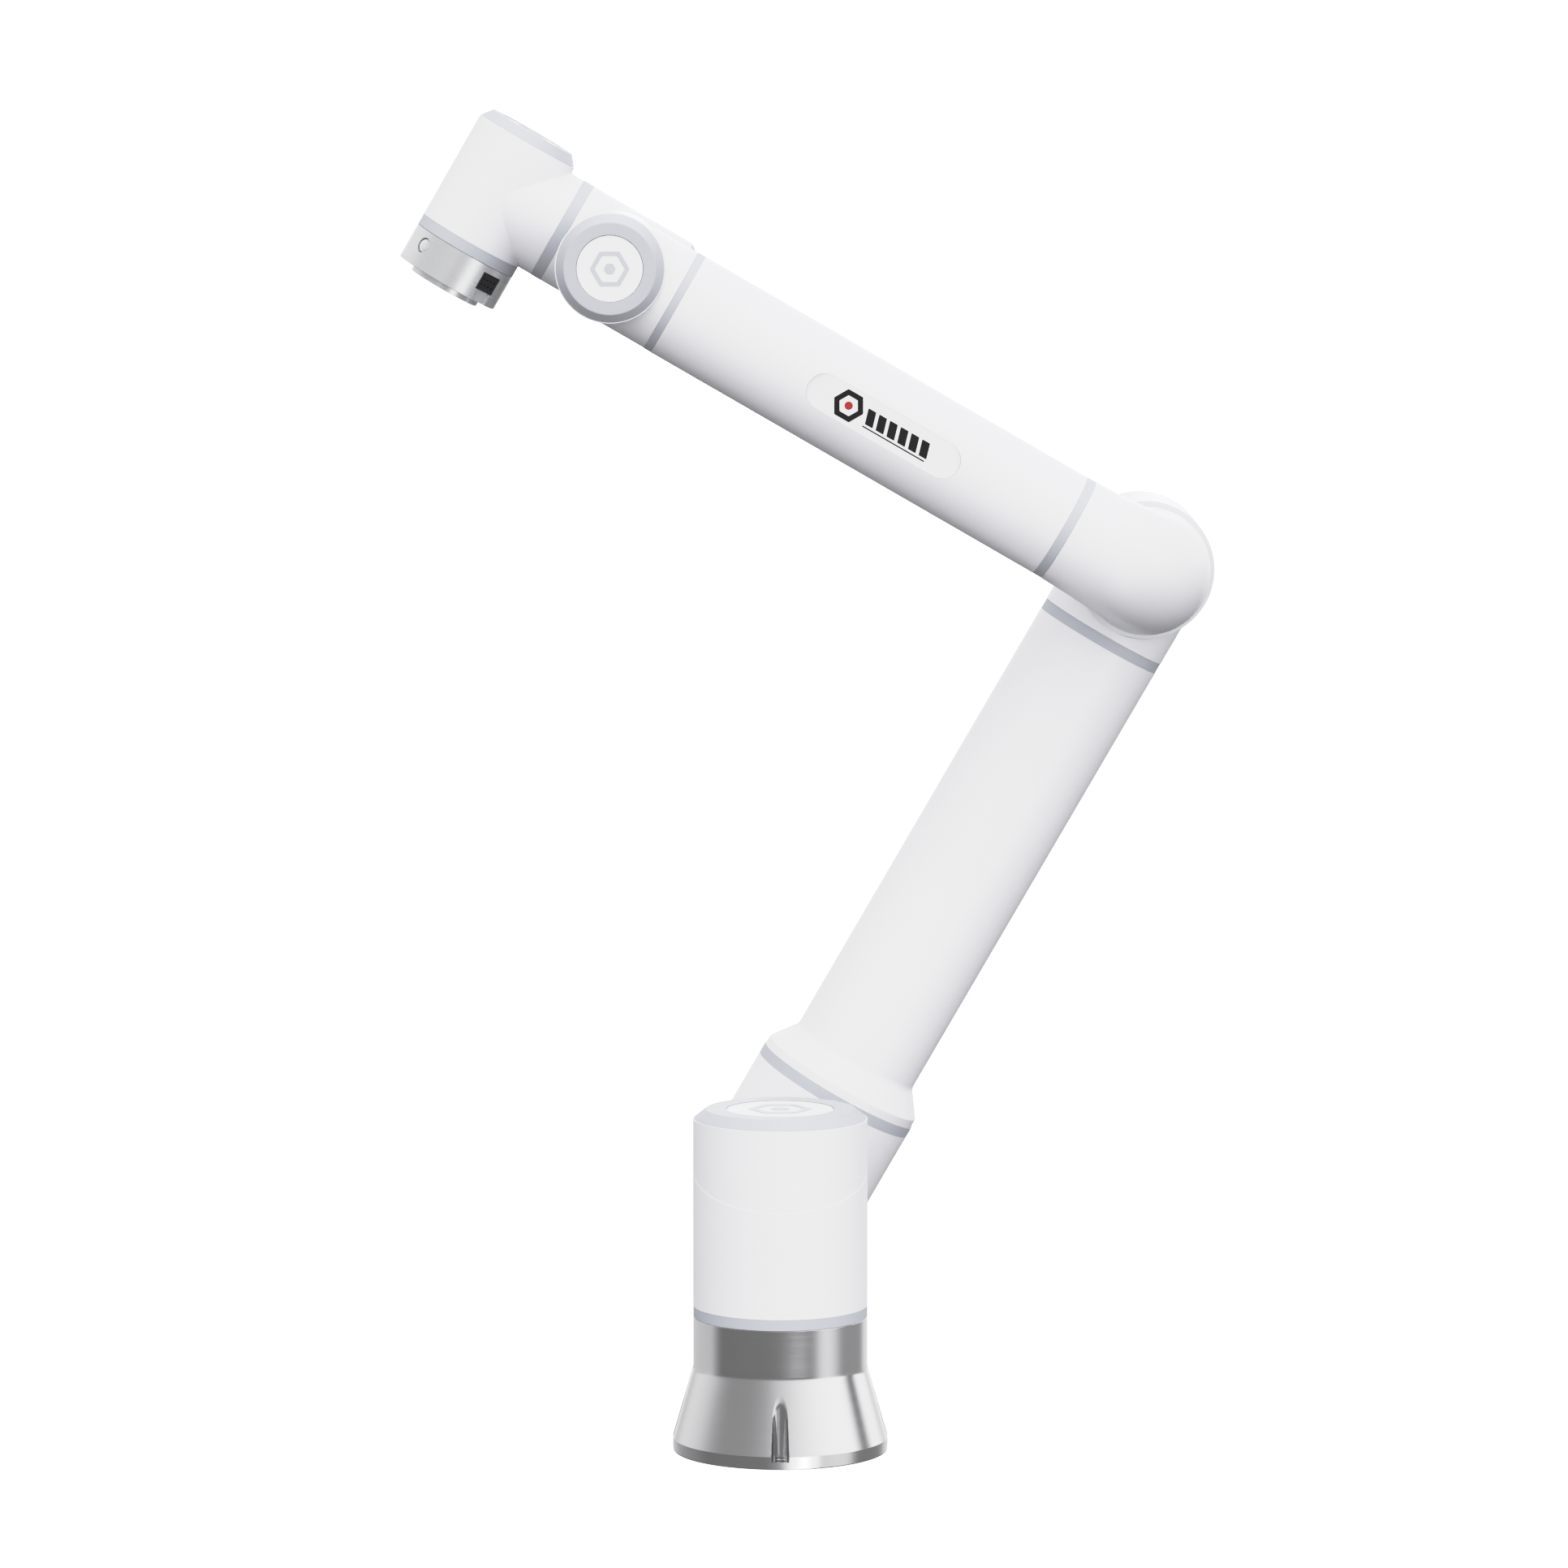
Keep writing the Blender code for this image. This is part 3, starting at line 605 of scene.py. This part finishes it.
def ring_piece(node, place, body):
    """Grey seal between two shells."""
    low, high, radius = measure(node, place)
    low, high, inner = low - RING_LAP, high + RING_LAP, radius - RING_DEPTH
    corners = [(radius, low, FOOT_EDGE), (radius, high, FOOT_EDGE), (inner, high, 0.0003),
               (inner, low, 0.0003)]
    band_piece = lathe(node + "_band", corners, place, RING, segments=128, steps=3)
    use(band_piece, body, "grey_ring", node)


def cap_pieces(prefix, place, body, face, badge):
    """Chamfered cap, recessed white disc and a raised plain six-sided emblem."""
    base, top, radius = measure(prefix + "_cap", place)
    base -= RING_LAP
    floor = top - 0.0016                 # bottom of the recess that takes the disc
    under = floor - 0.0030
    rim = badge + 0.0003
    spigot = radius - WALL - 0.0010
    corners = [(0.0, floor, 0), (rim, floor, 0.0002), (rim, top, 0.0005), (face, top, 0.0016),
               (radius, base, 0.00015), (spigot, base, 0.0002), (spigot, under, 0.0004),
               (0.0, under, 0)]
    cap = lathe(prefix + "_end_cap", corners, place, CAP, closed=False, segments=128)
    use(cap, body, "grey_cap", prefix + "_cap")
    disc_low, disc_top, disc_radius = measure(prefix + "_badge", place)
    deck = disc_top - 0.0007
    disc = lathe(prefix + "_badge_disc", [(0.0, deck, 0), (disc_radius, deck, 0.0002),
                                          (disc_radius, disc_low, 0), (0.0, disc_low, 0)],
                 place, BADGE, closed=False, segments=96)
    use(disc, body, "badge_white", prefix + "_badge")
    size = badge * 0.60
    turn = math.radians(30.0)
    frame_ring = (polygon(size, 6, size * 0.12, turn), polygon(size * 0.76, 6, size * 0.09, turn))
    middle = polygon(size * 0.30, 6, size * 0.05, turn)
    mark = prism(prefix + "_emblem", [frame_ring, middle], deck - 0.0002, disc_top, place, EMBLEM)
    use(mark, body, "grey_cap")


SEAM = (0.0430, 0.0172, 0.00028)         # only the shoulder shows a parting step
BODY = {"shoulder": "shoulder", "upper_arm": "upper_arm", "elbow": "upper_arm",
        "wrist_1": "forearm", "wrist_2": "wrist_1", "wrist_3": "wrist_2"}
CAP_FACE = {"shoulder": 0.0655, "upper_arm": 0.0655, "elbow": 0.0520,
            "wrist_1": 0.0400, "wrist_2": 0.0400, "wrist_3": 0.0400}
for prefix, place in AT.items():
    low, high, _ = measure(prefix + "_housing", place)
    local = local_spots(prefix + "_housing", place)
    radius = -min(point.x for point in local)
    reach = max(point.x for point in local)
    branch = max(point.z for point in local if point.x > radius + 0.0005)
    shell = tee_shell(prefix + "_shell", place, radius, low, high, reach, branch,
                      0.055 * radius, SEAM if prefix == "shoulder" else None)
    use(shell, BODY[prefix], "white_shell", prefix + "_housing")
    disc_radius = measure(prefix + "_badge", place)[2]
    cap_pieces(prefix, place, BODY[prefix], CAP_FACE[prefix], disc_radius)

# ---- seal rings ----------------------------------------------------------------------------------
for node, place, body in (
        ("base_ring", UP, "base"), ("shoulder_ring", at(P1, Y, Z), "shoulder"),
        ("upper_arm_lower_ring", ALONG_UPPER, "upper_arm"),
        ("upper_arm_top_ring", ALONG_UPPER, "upper_arm"), ("elbow_ring", ACROSS, "forearm"),
        ("forearm_elbow_ring", ALONG_FORE, "forearm"),
        ("forearm_wrist_ring", ALONG_FORE, "forearm"), ("wrist_1_ring", ACROSS_4, "wrist_1"),
        ("wrist_2_ring", ALONG_5, "wrist_2"), ("tool_ring", ALONG_6, "tool")):
    ring_piece(node, place, body)

# ---- upper arm tube ------------------------------------------------------------------------------
low, high, flare = measure("upper_arm_tube", ALONG_UPPER)
tube_radius = measure("upper_arm_top_ring", ALONG_UPPER)[2] + 0.0002
bore = tube_radius - 0.0045
collar, cone_end = low + 0.0078, low + 0.0307
upper_tube = lathe("upper_arm_shaft", [
    (tube_radius, high, 0.00015), (tube_radius, cone_end, 0.0110), (flare, collar, 0.0020),
    (flare, low, 0.00015), (flare - 0.0080, low, 0.0), (flare - 0.0080, collar - 0.0010, 0.0),
    (bore, cone_end - 0.0020, 0.0), (bore, high, 0.0)], ALONG_UPPER, SHELL, segments=160, steps=10)
use(upper_tube, "upper_arm", "white_shell", "upper_arm_tube")

# ---- elbow bracket: one smooth bend from the elbow joint into the forearm ------------------------
joint_plane = measure("elbow_ring", ACROSS)[0] - 0.0003
bracket_end = measure("forearm_elbow_ring", ALONG_FORE)[0] - 0.0003
joint_radius = 0.0570
neck_radius = measure("forearm_elbow_ring", ALONG_FORE)[2]
SWELL = 0.0009                           # the bend stands this much proud of the forearm's seal
lead = 0.0040                            # straight run before the bend
COLUMNS = 128
bend = joint_plane - ELBOW.y - lead
sections = []                            # (centre, direction, radius)
start = Vector((P3.x, joint_plane, P3.z))
for step in range(5):
    turn = math.radians(22.5 * step)
    sections.append((start - Y * 0.0006 * (1 - math.cos(turn)), -Y,
                     joint_radius - 0.0006 * (1 - math.sin(turn))))
sections.append((start - Y * lead * 0.6, -Y, joint_radius))
hub = start - Y * lead + FORE * bend
steps = 44
for step in range(steps + 1):
    turn = math.radians(90.0 * step / steps)
    centre = hub - FORE * bend * math.cos(turn) - Y * bend * math.sin(turn)
    share = step / steps
    ease = share * (1.0 + 0.25 * (1.0 - share))
    radius = joint_radius + (neck_radius + SWELL - joint_radius) * ease
    sections.append((centre, FORE * math.sin(turn) - Y * math.cos(turn), radius))
elbow_exit = ELBOW + FORE * bend
run = bracket_end - bend
for share in (0.2, 0.45, 0.7):
    sections.append((elbow_exit + FORE * run * share, FORE, neck_radius + SWELL - 0.0006 * share))
for step in range(4, -1, -1):
    turn = math.radians(22.5 * step)
    sections.append((elbow_exit + FORE * (run - 0.0005 * (1 - math.cos(turn))), FORE,
                     neck_radius + 0.0003 - 0.0005 * (1 - math.sin(turn))))
side_way = FORE.cross(Y).normalized()
verts, faces, loops = [], [], []
for centre, direction, radius in sections:
    normal = side_way.cross(direction)
    loop = []
    for step in range(COLUMNS):
        angle = math.tau * step / COLUMNS
        loop.append(len(verts))
        verts.append(centre + normal * radius * math.cos(angle)
                     + side_way * radius * math.sin(angle))
    loops.append(loop)
for first, second in zip(loops, loops[1:]):
    quads(faces, first, second)
faces += [loops[0][::-1], loops[-1]]
bracket = build("elbow_bend", verts, faces, UP, SHELL)
use(bracket, "forearm", "white_shell", "forearm_bracket")

# ---- forearm tube with its flat plaque -----------------------------------------------------------
low, high, _ = measure("forearm_tube", ALONG_FORE)
fore_radius = measure("forearm_wrist_ring", ALONG_FORE)[2] + 0.0002
fore_bore = fore_radius - 0.0058
fore_tube = lathe("forearm_shaft", [
    (fore_radius, high, 0.00015), (fore_radius, low, 0.00015), (fore_bore, low, 0.0),
    (fore_bore, high, 0.0)], ALONG_FORE, SHELL, segments=192, steps=4)
FORE_FACE = at(ELBOW, -Y, FORE)
plaque_low, plaque_high, _ = measure("forearm_plaque", FORE_FACE)
spots = local_spots("forearm_plaque", FORE_FACE)
plaque_at = (min(p.x for p in spots) + max(p.x for p in spots)) / 2
plaque_radius = max(p.y for p in spots)
plaque_half = (max(p.x for p in spots) - min(p.x for p in spots)) / 2 - plaque_radius
PLAQUE = at(ELBOW + FORE * plaque_at, -Y, FORE)
pocket = prism("pocket", [stadium_outline(plaque_half, plaque_radius + 0.00006)],
               plaque_low - 0.0001, 0.06, PLAQUE, SHELL)
carve(fore_tube, pocket)
use(fore_tube, "forearm", "white_shell", "forearm_tube")
plaque = prism("forearm_inlay", [stadium_outline(plaque_half, plaque_radius)], plaque_low,
               plaque_high, PLAQUE, SHELL, edge=0.0001)
use(plaque, "forearm", "white_shell", "forearm_plaque")

ink_low, ink_high = plaque_high - 0.0001, plaque_high + 0.00008
mark_x = 0.0350
hexagon = (polygon(0.0145, 6, 0.0012, 0.0, mark_x, 0.0),
           polygon(0.0092, 6, 0.0008, 0.0, mark_x, 0.0))
bar_half, lean, tall, bar_pitch = 0.0038, 0.0020, 0.0068, 0.0108
bars = []
for index in range(6):
    x = 0.0130 - bar_pitch * index
    bars.append(soften([(x - bar_half + lean, -tall, 0.0005), (x + bar_half + lean, -tall, 0.0005),
                        (x + bar_half - lean, tall, 0.0005), (x - bar_half - lean, tall, 0.0005)],
                       True))
underline = soften([(-0.0460, 0.0088, 0.0003), (0.0160, 0.0088, 0.0003),
                    (0.0160, 0.0099, 0.0003), (-0.0460, 0.0099, 0.0003)], True)
use(prism("plaque_print", [hexagon] + bars + [underline], ink_low, ink_high, PLAQUE, INK),
    "forearm", "black_plastic")
use(prism("plaque_dot", [circle(0.0036, 40, mark_x, 0.0)], ink_low, ink_high, PLAQUE, RED),
    "forearm", "black_plastic")

# ---- foot: turned casting with four rounded bolt slots -------------------------------------------
_, foot_top, foot_radius = measure("base_foot", UP)
neck = measure("base_ring", UP)[2]
band = 0.0115                            # height of the upright band at the floor
TAPER = 0.0006                           # the band draws in a little towards the floor
LEAN_IN = 0.288                          # the cone's radius lost for each metre of rise
corner = band + (foot_radius - neck) / LEAN_IN
BOLT_CIRCLE, SLOT_RADIUS, SLOT_FLOOR, BOLT_HOLE = 0.0885, 0.0070, 0.0068, 0.0045
outer = soften([(neck - 0.004, foot_top, 0.0), (neck, foot_top, 0.0006), (neck, corner, 0.0220),
                (foot_radius, band, 0.0006), (foot_radius - TAPER, 0.0, 0.0010),
                (foot_radius - 0.004, 0.0, 0.0)], False, 10)[1:-1]
dense = []
for (r0, z0), (r1, z1) in zip(outer, outer[1:]):
    pieces = max(1, round(abs(z1 - z0) / 0.0012)) if 0.0002 < z0 < corner + 0.006 else 1
    for piece in range(pieces):
        dense.append((r0 + (r1 - r0) * piece / pieces, z0 + (z1 - z0) * piece / pieces))
dense.append(outer[-1])
outside = []
for (r0, z0), (r1, z1) in zip(dense, dense[1:] + [(0.0, -1.0)]):
    if not SLOT_FLOOR - 0.0005 < z0 < SLOT_FLOOR + 0.0005:
        outside.append((r0, z0))
    if z0 > SLOT_FLOOR + 0.0004 > z1:
        for delta in (0.0004, 0.0001, -0.0001, -0.0004):
            height = SLOT_FLOOR + delta
            outside.append((foot_radius - TAPER * (1.0 - height / band), height))
# degrees from a slot's middle, closest together at its sides
offsets = [0.0, 0.5, 1.0, 1.5, 2.0, 2.5, 3.0, 3.4, 3.7, 3.9, 4.05, 4.2, 4.3, 4.4, 4.5, 4.6, 4.7,
           4.8, 4.9, 5.0, 5.15, 5.3, 5.5, 5.75, 6.1, 6.6, 7.4, 8.6, 10.5, 13.0]
offsets += [16.0 + 2.9 * step for step in range(10)]
spokes = []                              # (angle, degrees from the nearest slot's middle)
for quarter in range(4):
    for offset in [-value for value in offsets[:0:-1]] + offsets + [45.0]:
        spokes.append((90.0 * quarter + offset, offset))
spokes.sort()
slot_edge = math.degrees(math.asin(SLOT_RADIUS / BOLT_CIRCLE)) - 0.16


def slot_radius(offset):
    """How far out the slot's wall lets the foot reach, at an angle from the slot's middle."""
    inside = min(abs(offset), slot_edge)
    lateral = BOLT_CIRCLE * math.sin(math.radians(inside))
    back = BOLT_CIRCLE * math.cos(math.radians(inside)) - math.sqrt(
        max(SLOT_RADIUS ** 2 - lateral ** 2, 0.0))
    return back + max(abs(offset) - slot_edge, 0.0) * 0.0260


def soft_min(first, second, size):
    """The lesser of two radii, rounded over where they are closer than size."""
    overlap = max(size - abs(first - second), 0.0) / size
    return min(first, second) - overlap * overlap * size / 4.0


inner_cone = foot_radius - 0.0240
chamber = neck - 0.0080
hidden = [(inner_cone, 0.0), (inner_cone, 0.0045), (chamber, 0.0160),
          (chamber, foot_top - 0.0080), (0.0520, foot_top - 0.0080), (0.0520, foot_top)]
verts, loops = [], []
for radius, height in outside + hidden:
    loop = []
    for angle, offset in spokes:
        r = radius
        if height > SLOT_FLOOR and radius > neck - 0.0001:
            r = soft_min(radius, slot_radius(offset), 0.0016)
        loop.append(len(verts))
        verts.append((r * math.cos(math.radians(angle)), r * math.sin(math.radians(angle)), height))
    loops.append(loop)
faces = []
for first, second in zip(loops, loops[1:] + loops[:1]):
    quads(faces, first, second)
foot = build("foot_casting", verts, faces, UP, FOOT)
cutters = []
for quarter in range(4):
    angle = math.radians(90.0 * quarter)
    spot = Matrix.Translation((BOLT_CIRCLE * math.cos(angle), BOLT_CIRCLE * math.sin(angle), 0.0))
    cutters.append(drill("bolt_hole", BOLT_HOLE, -0.01, 0.01, spot, FOOT, 32))
BACK = at(Vector((0, 0, (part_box("base_inlet")[0].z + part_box("base_inlet")[1].z) / 2)), Y, X)
cutters.append(drill("inlet_hole", 0.0115, 0.05, 0.10, BACK, FOOT, 48))
carve(foot, *cutters)
use(foot, "base", "machined_metal", "base_foot", angle=40.0)

low, high, radius = measure("base_plate", UP)
cover = lathe("foot_cover", [(0.0, high, 0), (radius, high, 0.0006), (radius, low, 0.0006),
                             (0.0, low, 0)], UP, FOOT, closed=False)
use(cover, "base", "machined_metal", "base_plate")

low, high, radius = measure("base_inlet", BACK)
socket = lathe("cable_socket", [
    (0.0100, high, 0.0006), (0.0100, high - 0.0030, 0.0002), (0.0093, high - 0.0034, 0.0002),
    (0.0093, high - 0.0050, 0.0002), (0.0100, high - 0.0054, 0.0002), (0.0100, high - 0.0100, 0.0),
    (radius, high - 0.0100, 0.0004), (radius, low, 0.0), (0.0085, low, 0.0),
    (0.0085, low + 0.0030, 0.0), (0.0080, low + 0.0030, 0.0), (0.0080, high, 0.0005)],
    BACK, BLACK, segments=72)
use(socket, "base", "black_plastic", "base_inlet")
pins = []
for index in range(5):
    angle = math.tau * index / 5 + 0.3
    pins.append(circle(0.0008, 16, 0.0045 * math.cos(angle), 0.0045 * math.sin(angle)))
insert = lathe("socket_insert", [(0.0, low + 0.0060, 0), (0.0078, low + 0.0060, 0.0003),
                                 (0.0078, low + 0.0034, 0), (0.0, low + 0.0034, 0)], BACK, BLACK,
               closed=False, segments=48)
use(insert, "base", "black_plastic")
use(prism("socket_pins", pins, low + 0.0056, low + 0.0150, BACK, GOLD, edge=0.0003), "base",
    "machined_metal")

# ---- tool flange, connector, button and plate ----------------------------------------------------
low, high, flange_radius = measure("tool_flange", ALONG_6)
flange = lathe("flange_block", [
    (0.0090, high, 0.0005), (flange_radius, high, 0.0006), (flange_radius, low - 0.0001, 0.00015),
    (0.0360, low - 0.0001, 0.0003), (0.0360, high - 0.0080, 0.0), (0.0090, high - 0.0080, 0.0)],
    ALONG_6, FLANGE, segments=144, steps=4)
CONNECTOR_TURN, BUTTON_TURN = math.radians(44.5), math.radians(-44.5)


def on_flank(node, turn):
    """Placement on the flange's axis, beside a node's middle, with +Z pointing out at that turn."""
    lowest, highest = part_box(node)
    middle = (lowest + highest) / 2
    station = (middle - P6).dot(TOOL)
    return at(P6 + TOOL * station, -Y * math.cos(turn) - FORE * math.sin(turn), TOOL)


CONNECTOR = on_flank("tool_connector", CONNECTOR_TURN)
BUTTON_AT = on_flank("teach_button", BUTTON_TURN)


def slab(name, x0, x1, y0, y1, low, high, place, mat, fillet=0.0008, edge=0.0003):
    corners = [(x0, y0, fillet), (x1, y0, fillet), (x1, y1, fillet), (x0, y1, fillet)]
    return prism(name, [soften(corners, True)], low, high, place, mat, edge=edge)


face_low, face_high, _ = measure("tool_connector", CONNECTOR)
OUTSIDE = 0.06                           # a radius beyond the flange, for cutters
pocket = slab("pocket", -0.0083, 0.0083, -0.0108, 0.0108, face_low - 0.0004, OUTSIDE, CONNECTOR,
              FLANGE, 0.0004, 0.0)
groove_length = high - (CONNECTOR.translation - P6).dot(TOOL)
groove = slab("groove", 0.0060, groove_length + 0.004, -0.0085, 0.0085, face_high - 0.0024,
              OUTSIDE, CONNECTOR, FLANGE, 0.0006, 0.0)
button_low, button_high, button_radius = measure("teach_button", BUTTON_AT)
well = drill("well", button_radius + 0.0005, button_low - 0.0015, OUTSIDE, BUTTON_AT, FLANGE, 64)
carve(flange, pocket, groove, well)
use(flange, "tool", "machined_metal", "tool_flange", barrel=flange_radius)

connector = slab("connector_body", -0.0080, 0.0080, -0.0105, 0.0105, face_low, face_high, CONNECTOR,
                 BLACK, 0.0006, 0.0003)
sockets = []
for row in range(2):
    for column in range(4):
        spot = Matrix.Translation((-0.0026 + 0.0052 * row, -0.0066 + 0.0044 * column, 0))
        sockets.append(drill("contact", 0.0009, face_high - 0.0012, face_high + 0.001,
                             CONNECTOR @ spot, BLACK, 16))
carve(connector, *sockets)
use(connector, "tool", "black_plastic", "tool_connector")

dome = lathe("teach_button_dome", [
    (0.0, button_high, 0.0), (0.0030, button_high - 0.00015, 0.004),
    (button_radius - 0.0010, button_high - 0.0008, 0.003),
    (button_radius, button_high - 0.0016, 0.0006), (button_radius, button_low, 0.0),
    (0.0, button_low, 0.0)], BUTTON_AT, BUTTON, closed=False, segments=64, steps=5)
use(dome, "teach_button", "button_metal", "teach_button")

low, high, radius = measure("tool_plate", ALONG_6)
RECESS_RADIUS, HOLE_CIRCLE = 0.01575, 0.0250
recess = high - 0.0030
plate = lathe("tool_face", [
    (0.0090, low, 0.0), (0.0090, recess, 0.0003), (RECESS_RADIUS, recess, 0.0002),
    (RECESS_RADIUS, high, 0.0004), (radius, high, 0.0006), (radius, low, 0.0003)], ALONG_6, PLATE,
    segments=128)
holes = []
for index in range(4):
    spot = ALONG_6 @ Matrix.Rotation(math.radians(45.0 + 90.0 * index), 4, "Z")
    spot = spot @ Matrix.Translation((HOLE_CIRCLE, 0, 0))
    holes.append(lathe("thread", [(0.0, low - 0.01, 0), (0.0025, low - 0.01, 0),
                                  (0.0025, high - 0.0004, 0), (0.0034, high + 0.0005, 0),
                                  (0.0034, high + 0.01, 0), (0.0, high + 0.01, 0)], spot, PLATE,
                       closed=False, segments=32))
pin = ALONG_6 @ Matrix.Translation((0.0, HOLE_CIRCLE, 0))
holes.append(drill("pin_hole", 0.0030, low - 0.01, high + 0.01, pin, PLATE, 32))
carve(plate, *holes)
use(plate, "tool", "machined_metal", "tool_plate")

# ---- carried-over CAD pieces inside the modules --------------------------------------------------
for node, obj in frame["nodes"].items():
    finish = next((mat for key, mat in (("_gear", STEEL), ("_motor", COPPER),
                                        ("_drive_board", BOARD)) if node.endswith(key)), None)
    if finish:
        obj.data.materials.clear()
        obj.data.materials.append(finish)

# ---- floor, light and camera ---------------------------------------------------------------------
floor_mesh = bpy.data.meshes.new("floor")
floor_mesh.from_pydata([(-60, -60, 0), (60, -60, 0), (60, 400, 0), (-60, 400, 0)], [],
                       [(0, 1, 2, 3)])
floor = bpy.data.objects.new("floor", floor_mesh)
bpy.context.scene.collection.objects.link(floor)
floor.location.z = -0.0002
floor_mat, tree, shader, place = new_material("pale_floor")
tree.put(shader, "Base Color",
         tree.mix(tree.noise(place, 3.0), (0.90, 0.90, 0.905), (0.92, 0.92, 0.92)))
tree.put(shader, "Roughness", 0.9)
tree.put(shader, "Specular IOR Level", 0.0)
tree.put(shader, "Emission Color", (1.0, 1.0, 1.0, 1.0))
tree.put(shader, "Emission Strength", 0.62)
floor_mesh.materials.append(floor_mat)
floor.visible_diffuse = False
floor.visible_glossy = False
floor.visible_shadow = False

world = bpy.data.worlds.new("studio")
bpy.context.scene.world = world
world.use_nodes = True
world.node_tree.nodes.clear()
tree = Nodes(world.node_tree)
way = tree.add("ShaderNodeTexCoord").outputs["Generated"]
parts = tree.add("ShaderNodeSeparateXYZ", Vector=way)
LIGHT_TURN, LIGHT_RISE = math.radians(11.0), math.radians(48.0)
toward = (math.sin(LIGHT_TURN) * math.cos(LIGHT_RISE),
          -math.cos(LIGHT_TURN) * math.cos(LIGHT_RISE), math.sin(LIGHT_RISE))
BEHIND = (0.0, 0.966, 0.259)


def along(direction):
    """Cosine between the ray and a direction."""
    node = tree.tree.nodes.new("ShaderNodeVectorMath")
    node.operation = "DOT_PRODUCT"
    tree.tree.links.new(way, node.inputs[0])
    node.inputs[1].default_value = direction
    return node.outputs["Value"]


# what lights the matt surfaces: a broad soft lamp in front and a fill behind
soft = tree.ramp(along(toward), -0.16, 0.44, 0.03, 1.10)
fill = tree.ramp(along(BEHIND), 0.50, 0.98, 0.0, 1.00)
soft = tree.math("ADD", soft, fill)

front = tree.math("MULTIPLY", parts.outputs[1], -1.0)
azimuth = tree.math("MULTIPLY", tree.math("ARCTAN2", parts.outputs[0], front), math.degrees(1.0))
height = parts.outputs[2]


def panel(left, right, low, high, level, soft_left=8.0, soft_right=8.0, rise=0.03):
    """A soft-edged bright panel seen in polished metal.

    left and right are turns from the front in degrees, low and high are sines of the rise, level
    is the brightness, and soft_left, soft_right and rise are the half widths of the soft edges.
    """
    sides = tree.math("MULTIPLY", tree.ramp(azimuth, left - soft_left, left + soft_left),
                      tree.ramp(azimuth, right - soft_right, right + soft_right, 1.0, 0.0))
    tall = tree.math("MULTIPLY", tree.ramp(height, low - rise, low + rise),
                     tree.ramp(height, high - rise, high + rise, 1.0, 0.0))
    return tree.math("MULTIPLY", tree.math("MULTIPLY", sides, tall), level)


glow = 0.15                              # brightness of the room between the panels
for shape in (
        (50.0, 80.0, -0.24, 0.0, 0.42, 13.0, 14.0),          # strip beside the foot's neck
        (80.0, 400.0, -0.24, 0.0, 0.11, 10.0, 8.0), (140.0, 400.0, -0.24, 0.0, 0.28, 14.0, 8.0),
        (-400.0, -94.0, -0.24, 0.0, 0.27, 8.0, 12.0),
        (18.0, 94.0, 0.0, 2.0, 0.74, 62.0, 11.0),             # overhead, seen in the cone
        (112.0, 400.0, 0.0, 2.0, 0.72, 9.0, 8.0), (-400.0, -96.0, 0.0, 2.0, 0.40, 8.0, 34.0),
        (-110.0, 20.0, 0.0, 2.0, 0.08, 20.0, 30.0),
        (4.0, 86.0, -0.36, -0.25, 0.44, 24.0, 10.0, 0.012),  # low card, seen in the foot's band
        (12.0, 38.0, -2.0, -0.26, 1.10, 14.0, 10.0),         # and in the tool flange
        (158.0, 400.0, -0.12, 0.6, 0.34, 8.0, 8.0), (-400.0, -158.0, -0.12, 0.6, 0.34, 8.0, 8.0)):
    glow = tree.math("ADD", panel(*shape), glow)
path = tree.add("ShaderNodeLightPath")
level = tree.add("ShaderNodeMix", Factor=path.outputs["Is Glossy Ray"])
tree.tree.links.new(soft, level.inputs[2])
tree.tree.links.new(glow, level.inputs[3])
seen = tree.add("ShaderNodeMix", Factor=path.outputs["Is Camera Ray"])
tree.tree.links.new(level.outputs[0], seen.inputs[2])
seen.inputs[3].default_value = 1.0
back = tree.add("ShaderNodeBackground", Strength=seen.outputs[0])
back.inputs["Color"].default_value = (0.985, 0.99, 1.0, 1.0)
tree.add("ShaderNodeOutputWorld", Surface=back.outputs[0])

# highlight roll-off of a bright studio exposure
COMBINED = 3                             # the curve that acts on all colours together
view = bpy.context.scene.view_settings
view.view_transform = "Standard"
view.use_curve_mapping = True
curve = view.curve_mapping.curves[COMBINED]
view.curve_mapping.extend = "HORIZONTAL"
for light, shown in ((0.10, 0.125), (0.18, 0.240), (0.25, 0.360), (0.32, 0.510), (0.39, 0.630),
                     (0.47, 0.735), (0.55, 0.805), (0.62, 0.838), (0.70, 0.858), (0.82, 0.885),
                     (0.92, 0.940)):
    curve.points.new(light, shown)
view.curve_mapping.update()

camera_data = bpy.data.cameras.new("camera")
camera_data.lens = 167.70
camera_data.sensor_width = 36.0
camera_data.clip_end = 1000.0
camera = bpy.data.objects.new("camera", camera_data)
bpy.context.scene.collection.objects.link(camera)
camera.location = (0.0033, -6.3436, 1.2985)
camera.rotation_euler = (math.radians(90.0 - 6.371), 0.0, 0.0)
bpy.context.scene.camera = camera
